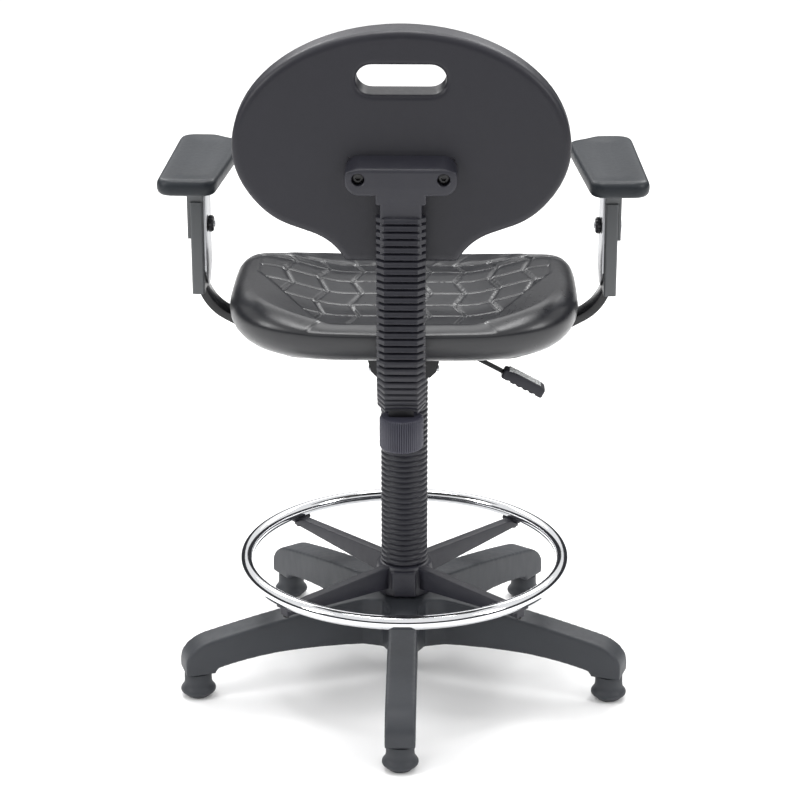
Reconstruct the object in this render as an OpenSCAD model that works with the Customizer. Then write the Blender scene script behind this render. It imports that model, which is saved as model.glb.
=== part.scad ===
// Drafting chair: five-legged base on glides, gas column, chrome foot ring, moulded seat
// and backrest, height-adjustable arms. Millimetres, +Z up, the sitter faces -Y, and the
// floor is z = 0. Every piece is drawn about the column's axis and then placed once.

/* [Overall] */
// Diameter of the circle that the feet reach
base_d = 640; // [520:5:780]
// Height of the mechanism's underside at the lowest seat setting
mech_z = 452; // [370:2:560]

/* [Base] */
// Width of a leg
leg_w = 40; // [30:1:50]
// Height of the hub's top
hub_top = 122; // [112:1:150]
// Height of the hub's underside
hub_floor = 46; // [40:1:50]
// Outer diameter of the hub
hub_d = 72; // [66:1:90]
// Height of a leg's top where it turns down to its foot
leg_end_top = 75; // [70:1:90]
// Height of the arch under a leg
arch_top = 55; // [50:1:60]
// Bevel along a leg's upper edges
leg_bevel = 6; // [2:0.5:9]
// Wall of the steel ring in the hub
hub_ring_t = 3; // [2:0.5:4]

/* [Glides] */
// Height of a glide
glide_h = 35; // [28:1:42]
// Widest diameter of a glide
glide_flare_d = 48; // [40:1:58]
// Diameter of a glide's collar
glide_collar_d = 37.5; // [32:0.5:46]
// Diameter of a glide on the floor
glide_foot_d = 34; // [28:1:40]
// Diameter of a glide's stem
stem_d = 11; // [9:1:13]
// Length of a stem inside the leg
stem_in = 28; // [20:1:33]

/* [Column] */
// Outer diameter of the column's lower tube
tube_d = 50; // [44:1:56]
// Wall of the lower tube
tube_t = 2.5; // [1.5:0.5:4]
// Outer diameter of the gas cylinder
cyl_d = 28; // [24:1:34]
// Diameter of the piston rod
rod_d = 10; // [8:1:12]
// Length of the guide bush
bush_len = 90; // [60:5:110]
// Outer diameter of the round bellows
bellows_d = 64; // [60:1:80]

/* [Foot ring] */
// Outer diameter of the foot ring
ring_d = 456; // [380:2:540]
// Diameter of the ring's tube
ring_tube = 19; // [15:1:24]
// Height of the ring's centre
ring_z = 170; // [150:1:210]
// Width of a spoke
spoke_w = 14; // [10:1:18]
// Depth of a spoke at the hub
spoke_root = 30; // [24:1:34]
// Depth of a spoke at the ring
spoke_tip = 13; // [10:1:18]

/* [Mechanism] */
// Width of the housing at its top
house_w = 106; // [90:1:130]
// Width of the housing at its floor
house_floor_w = 86; // [76:1:88]
// Height of the housing
house_h = 44; // [44:1:56]
// Length of the housing in front of the column
house_front = 95; // [70:1:110]
// Length of the housing behind the column
house_rear = 60; // [58:1:75]
// Sheet thickness of the housing
sheet_t = 2.5; // [1.5:0.5:3]
// Thickness of the plate under the seat
plate_t = 3; // [2:0.5:4]

/* [Seat] */
// Width of the seat
seat_w = 460; // [400:5:560]
// Reach of the seat in front of the column
seat_front = 225; // [180:5:280]
// Reach of the seat behind the column
seat_rear = 180; // [150:5:182]
// Thickness of the seat at its side rolls
seat_t = 73; // [55:1:90]
// Depth of the hollow in the seat's top
seat_dish = 22; // [10:1:28]
// Thickness of the board inside the seat
pan_t = 12; // [8:1:15]

/* [Spine] */
// Width of the steel spine bar
bar_w = 40; // [30:1:46]
// Thickness of the spine bar
bar_t = 10; // [8:0.5:12]
// Clear space between the seat's rear edge and the bar's centre
spine_gap = 50; // [45:1:70]
// Radius of the spine's large bend
spine_r = 100; // [80:1:125]
// Radius of the spine's small bend
toe_r = 30; // [20:1:40]
// Width of the flat-sided bellows
cover_w = 61; // [60:1:75]
// Depth of the flat-sided bellows
cover_d = 32; // [30:1:42]
// Diameter of the clamp wheel
wheel_d = 56; // [46:1:66]
// Height of the clamp wheel
wheel_h = 44; // [30:1:52]

/* [Backrest] */
// Width of the backrest
back_w = 415; // [340:5:500]
// Height of the backrest's upper half, above its widest line
back_up = 149; // [125:1:180]
// Height from the backrest's lower edge to its widest line
back_low = 147; // [140:1:177]
// Thickness of the backrest
back_t = 42; // [34:1:52]
// Lean of the backrest from upright
back_lean = 4.6; // [0:0.2:8]
// Width of the hand slot
slot_w = 110; // [90:1:132]
// Height of the hand slot
slot_h = 37; // [30:1:45]
// Height of the backrest's lower edge above the seat's top
back_gap = 80; // [76:1:96]
// Width of the T bracket
bracket_w = 137; // [114:1:165]
// Distance between the bracket's two screws
bracket_pitch = 104; // [86:1:120]

/* [Arms] */
// Clear distance from the seat's side to an upright's centre
arm_gap = 40; // [36:1:60]
// Thickness of an upright
arm_t = 16.6; // [14:0.2:20]
// Depth of an upright from front to rear
arm_d = 68; // [56:1:80]
// Height of an upright
arm_h = 125; // [120:1:150]
// Toe-in of an upright
arm_toe = 2; // [0:0.5:5]
// Thickness of the flat arm bar
arm_bar_t = 10; // [8:0.5:12]
// Width of the flat arm bar
arm_bar_w = 36; // [30:1:44]
// Length of an arm pad
pad_len = 250; // [210:1:300]
// Width of an arm pad at its rear end
pad_w = 77; // [64:1:92]
// Thickness of an arm pad
pad_t = 22; // [18:1:30]
// Travel of an arm pad
arm_travel = 30; // [10:1:31]

/* [Lever] */
// Diameter of the lever's rod
lever_d = 6.5; // [5:0.5:8]
// Slope of the lever below level
lever_slope = 28; // [20:1:32]
// Length of the lever's paddle
paddle_len = 62; // [50:1:75]
// Width of the lever's paddle
paddle_w = 24; // [18:1:30]

/* [Fits] */
// Radial clearance of a turning or sliding round fit
run_fit = 0.05; // [0.02:0.01:0.1]
// Clearance of a flat sliding fit
slide_gap = 0.3; // [0.2:0.05:0.5]

/* [Hidden] */
$fn = 64;
legs = 5;
spokes = 4;
eps = 1;

// Base
foot_r = (base_d - glide_flare_d) / 2;
axis_y = -foot_r * (1 - cos(180 / legs)) / 2;
socket_r = glide_collar_d / 2 + 1;
socket_z = glide_h + 1;
stem_bottom = glide_h - 20;
glide_waist = 11.5;
ring_bore = tube_d / 2 + run_fit;
hub_bore = ring_bore + hub_ring_t;

// Column
tube_floor = hub_floor + 2;
floor_t = 3;
bearing_h = 6;
tube_top = mech_z - 32;
bush_flange = 2;
cyl_bottom = tube_floor + floor_t + bearing_h + 13;
cyl_end = 10;
cyl_wall = 2.5;
socket_top = mech_z + 30;
cyl_top = mech_z + 26;
taper_h = 45;
taper = 0.8;
cyl_cap = 14;
engaged = 110;
stroke = tube_top - engaged - cyl_bottom;
piston_h = 15;
piston_z = cyl_bottom + cyl_end + stroke + 2;
pin_r = 4;
bellows_wall = 1.6;
bellows_z = ring_z - 5;

// Foot ring
ring_r = (ring_d - ring_tube) / 2;
ring_wall = 1.5;
spider_r = tube_d / 2 + 13.5;
spider_top = ring_z - 5;
saddle_z = ring_z - ring_tube / 2 + 2;
saddle_l = 30;
screw_r = 2.4;
boss_w = 34;

// Mechanism
plate_z = mech_z + house_h;
pan_z = plate_z + plate_t;
plate_w = 196;
plate_l = 176;
bolt_x = 80;
bolt_y = 70;
bolt_r = 4;
bolt_head_r = 6.5;
bolt_head = 5;
spine_z = mech_z + 8.5;
spine_pivot_y = house_rear - 15;
eye_r = 8;
spine_pin_r = 4;

// Lever
lever_z = mech_z + house_h - 6;
lever_x = 40;
lever_hub = 5.2;
lever_pin_r = 2;
ear_t = 3;
ear_gap = 7;
rod_run = 105;
paddle_h = 14;
cap_t = 2;
pin_top = lever_z - lever_d / 2 - 0.25;

// Seat
foam_z = pan_z + 3;
seat_top = foam_z + seat_t;
pan_w = 0.72 * seat_w;
pan_front = seat_front - 60;
pan_rear = seat_rear - 62;
pan_r = 40;

// Spine
spine_y = seat_rear + spine_gap;
bend_y = spine_y - spine_r;
bend_z = spine_z + toe_r * (1 - cos(45)) + spine_r * sin(45);
toe_y = bend_y + (spine_r - toe_r) * cos(45);
toe_z = spine_z + toe_r;
bellows_end = 45;
wheel_y = bend_y + (spine_r + 10) * cos(45);
wheel_gap = 0.8;
block_z = spine_z - bar_t / 2 + 0.3;
wheel_z = block_z - wheel_gap - wheel_h;
stud_r = 5;

// Backrest
back_z = seat_top + back_gap;
back_y = spine_y - 25;
wing_h = 42;
wing_s = 98;
wing_d = 30;
wing_z = back_z + wing_s;
screw_s = 119;
slot_s = back_low + 0.59 * back_up;
core_w = bracket_w - 7;
core_h = wing_h - 5;
core_t = 6;
insert_r = 7;
insert_l = 24;
sleeve_w = bar_w + 12;
sleeve_d = bar_t + 14;
sleeve_z = wing_z - 78;
bar_top = wing_z + wing_h - 30;
bellows_top = wing_z - 29;

// Arms
arm_x = seat_w / 2 + arm_gap;
arm_y = 0;
arm_slope = 28;
arm_r = 64;
arm_low_r = 60;
cover_z = pan_z + 59;
arm_bend_z = cover_z + 22;
arm_bar_top = cover_z + 62;
tab_t = 4;
tab_l = 55;
tab_w = 76;
tab_bolt = 28;
cover_top = cover_z + arm_h;
clamp_r = 4;
clamp_z = cover_top - arm_travel - 3 - clamp_r - slide_gap;
strip_t = 2.7;
lug_t = 4;
lug_z = clamp_z - 13;
knob_r = 11;
knob_t = 7;
pad_z = cover_top + slide_gap + 32;
pad_plate_t = 4;
pad_rear = 0.52 * pad_len;

// Points on an arc, from angle a0 to a1
function arc(cx, cy, r, a0, a1, n = 12) =
    [for (i = [0:n]) [cx + r * cos(a0 + (a1 - a0) * i / n), cy + r * sin(a0 + (a1 - a0) * i / n)]];

// Points on an upright ellipse's quarter
function oval(cy, a, b, a0, a1, n = 16) =
    [for (i = [0:n]) [a * cos(a0 + (a1 - a0) * i / n), cy + b * sin(a0 + (a1 - a0) * i / n)]];

function flip(points) = [for (i = [len(points) - 1:-1:0]) [-points[i][0], points[i][1]]];

module about_column() {
    translate([0, axis_y, 0]) children();
}

// Extrudes an outline drawn in (y, z) along X, centred
module across(w) {
    rotate([90, 0, 90]) translate([0, 0, -w / 2]) linear_extrude(w) children();
}

// Extrudes an outline drawn in (x, z) along Y, from y0 to y1
module along(y0, y1) {
    translate([0, y1, 0]) rotate([90, 0, 0]) linear_extrude(y1 - y0) children();
}

module round_rect(w, d, r) {
    square([w - 2 * r, d], center = true);
    square([w, d - 2 * r], center = true);
    for (x = [-1, 1], y = [-1, 1]) translate([x * (w / 2 - r), y * (d / 2 - r)]) circle(r);
}

module tube(r, bore, h) {
    difference() {
        cylinder(r = r, h = h);
        translate([0, 0, -eps]) cylinder(r = bore, h = h + 2 * eps);
    }
}

module around(n) {
    for (i = [0:n - 1]) rotate(90 + i * 360 / n) children();
}

// ---- Base ----

module leg_side() {
    root = hub_d / 4;
    bend = 20;
    end_r = foot_r + socket_r - 1.5;
    peak = 0.55 * foot_r;
    inner = foot_r - socket_r - 4;
    hub_edge = hub_d / 2 - 4;
    low = socket_z + 1;
    polygon(concat(
        [[root, hub_top + 10]],
        arc(end_r - bend, leg_end_top - bend, bend, 70, 0, 8),
        [[end_r, low], [inner + 7, low], [inner, low + 4]],
        [for (i = [0:8]) let (t = i / 8) [inner - t * (inner - peak),
            arch_top - (arch_top - socket_z - 6) * pow(1 - t, 2)]],
        [for (i = [1:8]) let (t = i / 8) [peak - t * (peak - hub_edge),
            arch_top - (arch_top - hub_floor - 1) * pow(t, 2)]],
        [[root, hub_floor + 1]]
    ));
}

// A leg's roof: a wedge with bevelled upper edges that falls through one point of the leg's top
module leg_roof(r, z, drop) {
    half = leg_w / 2;
    b = leg_bevel;
    wide = 5;
    depth = 2 * hub_top;
    translate([r, 0, z]) rotate([0, drop, 0]) translate([-foot_r, 0, 0])
        rotate([90, 0, 90]) linear_extrude(2 * foot_r + 90)
            polygon([[-half - wide, -depth], [half + wide, -depth], [half + wide, -b - wide],
                [half - b, 0], [b - half, 0], [-half - wide, -b - wide]]);
}

module leg() {
    root = hub_d / 4;
    knee_r = 0.55 * foot_r;
    knee_z = leg_end_top + 0.64 * (hub_top - leg_end_top);
    intersection() {
        translate([0, leg_w / 2, 0]) rotate([90, 0, 0]) linear_extrude(leg_w) leg_side();
        leg_roof(root, hub_top, atan2(hub_top - knee_z, knee_r - root));
        leg_roof(knee_r, knee_z, atan2(knee_z - leg_end_top, foot_r - knee_r));
    }
}

module star_base() {
    about_column() color("#4b4e53") difference() {
        union() {
            translate([0, 0, hub_floor]) cylinder(r = hub_d / 2, h = hub_top - hub_floor);
            around(legs) leg();
            around(legs) translate([foot_r, 0, socket_z]) cylinder(r = socket_r, h = 14);
        }
        translate([0, 0, hub_floor - eps]) cylinder(r = hub_bore, h = hub_top - hub_floor + 2 * eps);
        around(legs) translate([foot_r, 0, 0]) cylinder(r = stem_d / 2, h = glide_h + stem_in + eps);
    }
}

module hub_ring() {
    about_column() color("silver") translate([0, 0, hub_floor])
        tube(hub_bore, ring_bore, hub_top - hub_floor);
}

module glide(i) {
    foot = glide_foot_d / 2;
    flare = glide_flare_d / 2;
    collar = glide_collar_d / 2;
    about_column() color("#45484c") rotate(90 + (i - 1) * 360 / legs) translate([foot_r, 0, 0])
        difference() {
            rotate_extrude() polygon([[0, 0], [foot - 1, 0], [foot, 1], [flare, glide_waist - 1],
                [flare, glide_waist + 1], [collar, glide_waist + 10], [collar, glide_h], [0, glide_h]]);
            translate([0, 0, stem_bottom]) cylinder(r = stem_d / 2, h = glide_h);
        }
}

module glide_stems() {
    about_column() color("silver") around(legs) translate([foot_r, 0, stem_bottom])
        cylinder(r = stem_d / 2 - run_fit, h = glide_h - stem_bottom + stem_in);
}

// ---- Column ----

module column_tube() {
    about_column() color("#2c2d30") translate([0, 0, tube_floor]) difference() {
        cylinder(r = tube_d / 2, h = tube_top - tube_floor);
        translate([0, 0, floor_t]) cylinder(r = tube_d / 2 - tube_t, h = tube_top);
        translate([0, 0, -eps]) cylinder(r = rod_d / 2 + run_fit, h = floor_t + 2 * eps);
    }
}

module guide_bush() {
    about_column() color("#e8e6df") translate([0, 0, tube_top - bush_len]) difference() {
        union() {
            cylinder(r = tube_d / 2 - tube_t - run_fit, h = bush_len);
            translate([0, 0, bush_len]) cylinder(r = tube_d / 2, h = bush_flange);
        }
        translate([0, 0, -eps]) cylinder(r = cyl_d / 2 + run_fit, h = bush_len + bush_flange + 2 * eps);
    }
}

module thrust_bearing() {
    about_column() color("silver") translate([0, 0, tube_floor + floor_t])
        tube(rod_d / 2 + 6, rod_d / 2 + run_fit, bearing_h);
}

module piston_rod() {
    low = tube_floor - 8;
    about_column() color("silver") {
        translate([0, 0, low]) cylinder(r = rod_d / 2, h = piston_z + piston_h - low);
        translate([0, 0, tube_floor + floor_t + bearing_h + slide_gap]) cylinder(r = rod_d / 2 + 4, h = 4);
    }
}

module piston() {
    about_column() color("#303236") translate([0, 0, piston_z])
        tube(cyl_d / 2 - cyl_wall - run_fit, rod_d / 2 + run_fit, piston_h);
}

module rod_clip() {
    about_column() color("silver") translate([0, 0, tube_floor - slide_gap - 2])
        tube(rod_d / 2 + 4, rod_d / 2 + run_fit, 2);
}

module column_bellows() {
    about_column() color("#3a3c40") translate([0, 0, bellows_z])
        tube(bellows_d / 2, bellows_d / 2 - bellows_wall, mech_z - 9 - bellows_z);
}

module cylinder_profile(grow) {
    r = cyl_d / 2 + grow;
    polygon([[0, cyl_bottom], [r, cyl_bottom], [r, cyl_top - taper_h], [r - taper, cyl_top],
        [0, cyl_top]]);
}

module gas_cylinder() {
    inner = cyl_d / 2 - cyl_wall;
    about_column() color("#2c2d30") difference() {
        rotate_extrude() cylinder_profile(0);
        translate([0, 0, cyl_bottom + cyl_end])
            cylinder(r = inner, h = cyl_top - cyl_cap - cyl_bottom - cyl_end);
        translate([0, 0, cyl_bottom - eps]) cylinder(r = rod_d / 2 + run_fit, h = cyl_end + 2 * eps);
        translate([0, 0, cyl_top - cyl_cap - eps]) cylinder(r = pin_r + run_fit, h = cyl_cap + 2 * eps);
    }
}

module release_pin() {
    about_column() color("silver") translate([0, 0, cyl_top - cyl_cap])
        cylinder(r = pin_r, h = pin_top - cyl_top + cyl_cap);
}

// ---- Foot ring ----

module footring_tube() {
    about_column() color("#d9dce0") difference() {
        translate([0, 0, ring_z]) difference() {
            rotate_extrude() translate([ring_r, 0]) circle(ring_tube / 2);
            rotate_extrude() translate([ring_r, 0]) circle(ring_tube / 2 - ring_wall);
        }
        spoke_holes();
    }
}

module spoke_holes() {
    low = saddle_z - spoke_tip - eps;
    rotate(180 / spokes) around(spokes) translate([ring_r, 0, low])
        cylinder(r = screw_r + run_fit, h = ring_z - low);
}

module footring_spider() {
    boss_z = hub_top + 2;
    about_column() color("#3b3d42") difference() {
        union() {
            translate([0, 0, hub_top]) cylinder(r = spider_r, h = spider_top - hub_top);
            translate([-boss_w / 2, 0, boss_z]) cube([boss_w, spider_r + 5, spider_top - boss_z - 6]);
            rotate(180 / spokes) around(spokes) spoke();
        }
        translate([0, 0, hub_top - eps]) cylinder(r = ring_bore, h = spider_top);
        translate([0, 0, ring_z]) rotate_extrude() translate([ring_r, 0]) circle(ring_tube / 2 + run_fit);
        spoke_holes();
    }
}

module spoke() {
    translate([0, spoke_w / 2, 0]) rotate([90, 0, 0]) linear_extrude(spoke_w) polygon([
        [tube_d / 2, spider_top - 1], [ring_r + 5, saddle_z], [ring_r + 5, saddle_z - spoke_tip],
        [ring_r - 8, saddle_z - spoke_tip], [tube_d / 2, spider_top - 4 - spoke_root]]);
    translate([ring_r - 7, -saddle_l / 2, saddle_z - 4]) cube([12, saddle_l, 4]);
}

module ring_screws() {
    about_column() color("silver") rotate(180 / spokes) around(spokes)
        translate([ring_r, 0, saddle_z - spoke_tip - 2.5]) {
            cylinder(r = screw_r * 1.9, h = 2.5);
            cylinder(r = screw_r, h = spoke_tip + 5);
        }
}

// ---- Mechanism ----

function house_half(z) = (house_floor_w + (house_w - house_floor_w) * (z - mech_z) / house_h) / 2;

// The housing's cross-section, drawn in (x, z), drawn in by t
module house_section(t) {
    c = 8;
    top = house_w / 2 - t;
    low = house_floor_w / 2 - t;
    z = mech_z + t;
    polygon([[low - c, z], [low, z + c], [top, plate_z + (t > 0 ? eps : 0)],
        [-top, plate_z + (t > 0 ? eps : 0)], [-low, z + c], [c - low, z]]);
}

module mechanism_housing() {
    slot = bar_w + 4;
    about_column() color("#26272b") difference() {
        union() {
            difference() {
                along(-house_front, house_rear) house_section(0);
                along(-house_front + sheet_t, house_rear - sheet_t) house_section(sheet_t);
            }
            for (y = [-1, 1]) lever_ear(y);
        }
        translate([0, 0, mech_z - eps]) cylinder(r = cyl_d / 2 + 6 + run_fit, h = 10);
        translate([-slot / 2, spine_pivot_y - eye_r - 3, mech_z - eps]) cube([slot, house_rear, 30]);
        translate([-house_w, 0, spine_z]) translate([0, spine_pivot_y, 0]) rotate([0, 90, 0])
            cylinder(r = spine_pin_r + run_fit, h = 2 * house_w);
        translate([-house_w, -lever_d / 2 - 1.5, lever_z - 9])
            cube([house_w - lever_x - 4, lever_d + 3, 15 + eps]);
        lever_bore();
    }
}

module lever_ear(y) {
    x0 = house_half(lever_z - 6) - sheet_t / 2;
    translate([-x0, y > 0 ? ear_gap : -ear_gap - ear_t, lever_z - 6]) cube([x0 - lever_x + 7, ear_t, 11.5]);
}

module lever_bore() {
    translate([-lever_x, -ear_gap - ear_t - eps, lever_z]) rotate([-90, 0, 0])
        cylinder(r = lever_pin_r + run_fit, h = 2 * (ear_gap + ear_t + eps));
}

module column_socket() {
    about_column() color("silver") difference() {
        translate([0, 0, mech_z - 8]) cylinder(r = cyl_d / 2 + 6, h = socket_top - mech_z + 8);
        rotate_extrude() cylinder_profile(run_fit);
        translate([0, 0, cyl_top - eps]) cylinder(r = cyl_d / 2, h = 20);
    }
}

module seat_plate() {
    about_column() color("silver") translate([0, 0, plate_z]) difference() {
        linear_extrude(plate_t) round_rect(plate_w, plate_l, 12);
        seat_holes(bolt_r + run_fit);
    }
}

module seat_holes(r) {
    for (x = [-1, 1], y = [-1, 1]) translate([x * bolt_x, y * bolt_y, -eps]) cylinder(r = r, h = 60);
}

module seat_pan() {
    about_column() color("#b08a5a") difference() {
        translate([0, (pan_rear - pan_front) / 2, pan_z]) linear_extrude(pan_t)
            round_rect(pan_w, pan_rear + pan_front, pan_r);
        translate([0, 0, pan_z]) seat_holes(bolt_r + 2);
        arm_bolt_holes(bolt_r + run_fit);
    }
}

module seat_bolts() {
    about_column() color("silver") for (x = [-1, 1], y = [-1, 1]) translate([x * bolt_x, y * bolt_y, 0]) {
        translate([0, 0, plate_z - bolt_head]) cylinder(r = bolt_head_r, h = bolt_head);
        translate([0, 0, plate_z - bolt_head]) cylinder(r = bolt_r, h = bolt_head + plate_t + pan_t);
    }
}

module tee_nuts() {
    about_column() color("silver") for (x = [-1, 1], y = [-1, 1])
        translate([x * bolt_x, y * bolt_y, pan_z]) difference() {
            union() {
                cylinder(r = bolt_r + 2 - run_fit, h = pan_t);
                translate([0, 0, pan_t]) cylinder(r = 10, h = 1.5);
            }
            translate([0, 0, -eps]) cylinder(r = bolt_r + run_fit, h = pan_t + 5);
        }
}

// ---- Seat ----

function seat_outline() = let (
    w = seat_w / 2,
    rc = 105,
    fc = 85,
    bulge = 14)
    concat(
        arc(w - rc, seat_rear - bulge - rc, rc, 0, 78, 12),
        [[0, seat_rear]],
        arc(rc - w, seat_rear - bulge - rc, rc, 102, 180, 12),
        arc(fc - w, fc - seat_front + bulge, fc, 180, 256, 10),
        [[0, -seat_front]],
        arc(w - fc, fc - seat_front + bulge, fc, 284, 360, 10));

module seat_front_view() {
    w = seat_w / 2;
    half = [[w - 65, foam_z], [w - 8, foam_z + 0.5 * seat_t], [w, foam_z + 0.66 * seat_t],
        [w - 8, seat_top - 8], [w - 28, seat_top], [w - 58, seat_top - 4],
        [w - 110, seat_top - seat_dish]];
    polygon(concat(half, flip(half)));
}

module seat_side_view() {
    polygon([[-seat_front + 50, foam_z], [seat_rear - 58, foam_z], [seat_rear - 26, foam_z + 0.12 * seat_t],
        [seat_rear - 6, foam_z + 0.34 * seat_t], [seat_rear, foam_z + 0.6 * seat_t],
        [seat_rear - 10, seat_top - 10], [seat_rear - 34, seat_top], [-seat_front + 105, seat_top - 2],
        [-seat_front + 60, seat_top - 12], [-seat_front + 22, seat_top - 29],
        [-seat_front, foam_z + 0.42 * seat_t], [-seat_front + 10, foam_z + 0.2 * seat_t]]);
}

module seat_foam() {
    clear = 0.3;
    about_column() color("#2f3034") difference() {
        intersection() {
            translate([0, 0, foam_z - eps]) linear_extrude(seat_t + 2 * eps) polygon(seat_outline());
            along(-seat_front - eps, seat_rear + eps) seat_front_view();
            across(seat_w + eps) seat_side_view();
        }
        translate([0, (pan_rear - pan_front) / 2, pan_z]) linear_extrude(pan_t + clear)
            round_rect(pan_w + 2 * clear, pan_rear + pan_front + 2 * clear, pan_r);
        for (x = [-1, 1], y = [-1, 1]) translate([x * bolt_x, y * bolt_y, pan_z])
            cylinder(r = 10 + clear, h = pan_t + 1.5 + clear);
    }
}

// ---- Spine: outlines are drawn in (y, z) ----

// The sector of a bend between angles a0 and a1, wide enough to cut any radius in use
module wedge(cy, cz, a0, a1) {
    far = 3 * spine_r;
    translate([cy, cz]) polygon([[0, 0], [far * cos(a0), far * sin(a0)], [far * cos((a0 + a1) / 2),
        far * sin((a0 + a1) / 2)], [far * cos(a1), far * sin(a1)]]);
}

module bend(cy, cz, r, t, a0, a1) {
    intersection() {
        translate([cy, cz]) difference() {
            circle(r + t / 2, $fn = 128);
            circle(r - t / 2, $fn = 128);
        }
        wedge(cy, cz, a0, a1);
    }
}

module spine_bar() {
    about_column() color("#2a2b2f") difference() {
        across(bar_w) {
            translate([spine_y - bar_t / 2, bend_z]) square([bar_t, bar_top - bend_z]);
            bend(bend_y, bend_z, spine_r, bar_t, -45, 0);
            bend(toe_y, toe_z, toe_r, bar_t, -90, -45);
            translate([spine_pivot_y, spine_z - bar_t / 2]) square([toe_y - spine_pivot_y, bar_t]);
            translate([spine_pivot_y, spine_z]) circle(eye_r);
        }
        translate([-bar_w, spine_pivot_y, spine_z]) rotate([0, 90, 0])
            cylinder(r = spine_pin_r + run_fit, h = 2 * bar_w);
    }
}

module spine_pin() {
    half = house_half(spine_z) + 2;
    about_column() color("silver") translate([-half, spine_pivot_y, spine_z]) rotate([0, 90, 0])
        cylinder(r = spine_pin_r, h = 2 * half);
}

module elbow_block() {
    about_column() color("#2a2b2f") difference() {
        across(bar_w - 8) difference() {
            translate([wheel_y - 13, block_z]) square([22, 24]);
            translate([bend_y, bend_z]) circle(spine_r + bar_t / 2, $fn = 128);
            translate([toe_y, toe_z]) circle(toe_r + bar_t / 2, $fn = 128);
        }
        translate([0, wheel_y, block_z - eps]) cylinder(r = stud_r + run_fit, h = 40);
    }
}

module elbow_bellows() {
    wall = 1.6;
    clear = 0.3;
    about_column() color("#3a3c40") difference() {
        across(cover_w) bend(bend_y, bend_z, spine_r, cover_d, -bellows_end, 0);
        across(cover_w - 2 * wall) bend(bend_y, bend_z, spine_r, cover_d - 2 * wall, -bellows_end - 4, 4);
        across(bar_w - 8 + 2 * clear) translate([wheel_y - 13 - clear, block_z - clear])
            square([22 + 2 * clear, 24 + 2 * clear]);
    }
}

module spine_bellows() {
    wall = 1.6;
    about_column() color("#3a3c40") translate([0, spine_y, bend_z]) difference() {
        translate([-cover_w / 2, -cover_d / 2, slide_gap])
            cube([cover_w, cover_d, bellows_top - bend_z - slide_gap]);
        translate([-cover_w / 2 + wall, -cover_d / 2 + wall, -eps])
            cube([cover_w - 2 * wall, cover_d - 2 * wall, bellows_top]);
    }
}

module lock_wheel() {
    r = wheel_d / 2;
    about_column() color("#55585d") translate([0, wheel_y, wheel_z]) difference() {
        rotate_extrude() polygon([[0, 0], [r - 3, 0], [r, 3], [r, wheel_h - 2], [r - 2, wheel_h],
            [0, wheel_h]]);
        translate([0, 0, wheel_h - 22]) cylinder(r = stud_r + run_fit, h = 30);
    }
}

module wheel_stud() {
    about_column() color("silver") translate([0, wheel_y, wheel_z + wheel_h - 22])
        cylinder(r = stud_r, h = 22 + wheel_gap + 8);
}

// ---- Backrest: local y points to the rear, local z runs up its rear face ----

module on_back() {
    about_column() translate([0, back_y, back_z]) rotate([-back_lean, 0, 0]) children();
}

// Right half of the outline, from the foot of the neck up to the crown
function back_half_outline() = let (
    w = back_w / 2,
    turn = 34,
    p = [w * cos(turn), back_low - 0.95 * back_low * sin(turn)],
    r1 = 95,
    c1 = [p[0] - r1 * sin(45), p[1] + r1 * cos(45)],
    q = [c1[0] + r1 * sin(20), c1[1] - r1 * cos(20)],
    s = [q[0] - 28 * cos(20), q[1] - 28 * sin(20)],
    r2 = (s[1] - 2) / (cos(20) - cos(62)),
    c2 = [s[0] + r2 * sin(20), s[1] - r2 * cos(20)])
    concat(
        [for (i = [6:-1:0]) let (a = 20 + 42 * i / 6) [c2[0] - r2 * sin(a), c2[1] + r2 * cos(a)]],
        [for (i = [0:5]) let (a = 20 + 25 * i / 5) [c1[0] + r1 * sin(a), c1[1] - r1 * cos(a)]],
        oval(back_low, w, 0.95 * back_low, -turn + 4, 0, 8),
        oval(back_low, w, back_up, 5, 90, 17));

module back_foam() {
    right = back_half_outline();
    foot = right[0][0] - 4;
    on_back() color("#3d4045") difference() {
        rotate([90, 0, 0]) linear_extrude(back_t) difference() {
            polygon(concat([[foot, 0]], right, flip(right), [[-foot, 0]]));
            translate([0, slot_s]) round_rect(slot_w, slot_h, slot_h / 2 - 0.01);
        }
        translate([-core_w / 2, -core_t, wing_s + 2.5]) cube([core_w, core_t + eps, core_h]);
        for (x = [-1, 1]) translate([x * bracket_pitch / 2, eps, screw_s]) rotate([90, 0, 0])
            cylinder(r = insert_r + run_fit, h = insert_l + core_t + 1.3);
    }
}

module back_core() {
    on_back() color("silver") difference() {
        translate([-core_w / 2, -core_t, wing_s + 2.5]) cube([core_w, core_t, core_h]);
        bracket_bores(bolt_r + run_fit);
    }
}

module back_inserts() {
    on_back() color("#b9a14e") for (x = [-1, 1]) translate([x * bracket_pitch / 2, -core_t, screw_s])
        rotate([90, 0, 0]) tube(insert_r, bolt_r + run_fit, insert_l);
}

module bracket_bores(r) {
    for (x = [-1, 1]) translate([x * bracket_pitch / 2, 60, screw_s]) rotate([90, 0, 0])
        cylinder(r = r, h = 120);
}

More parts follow.
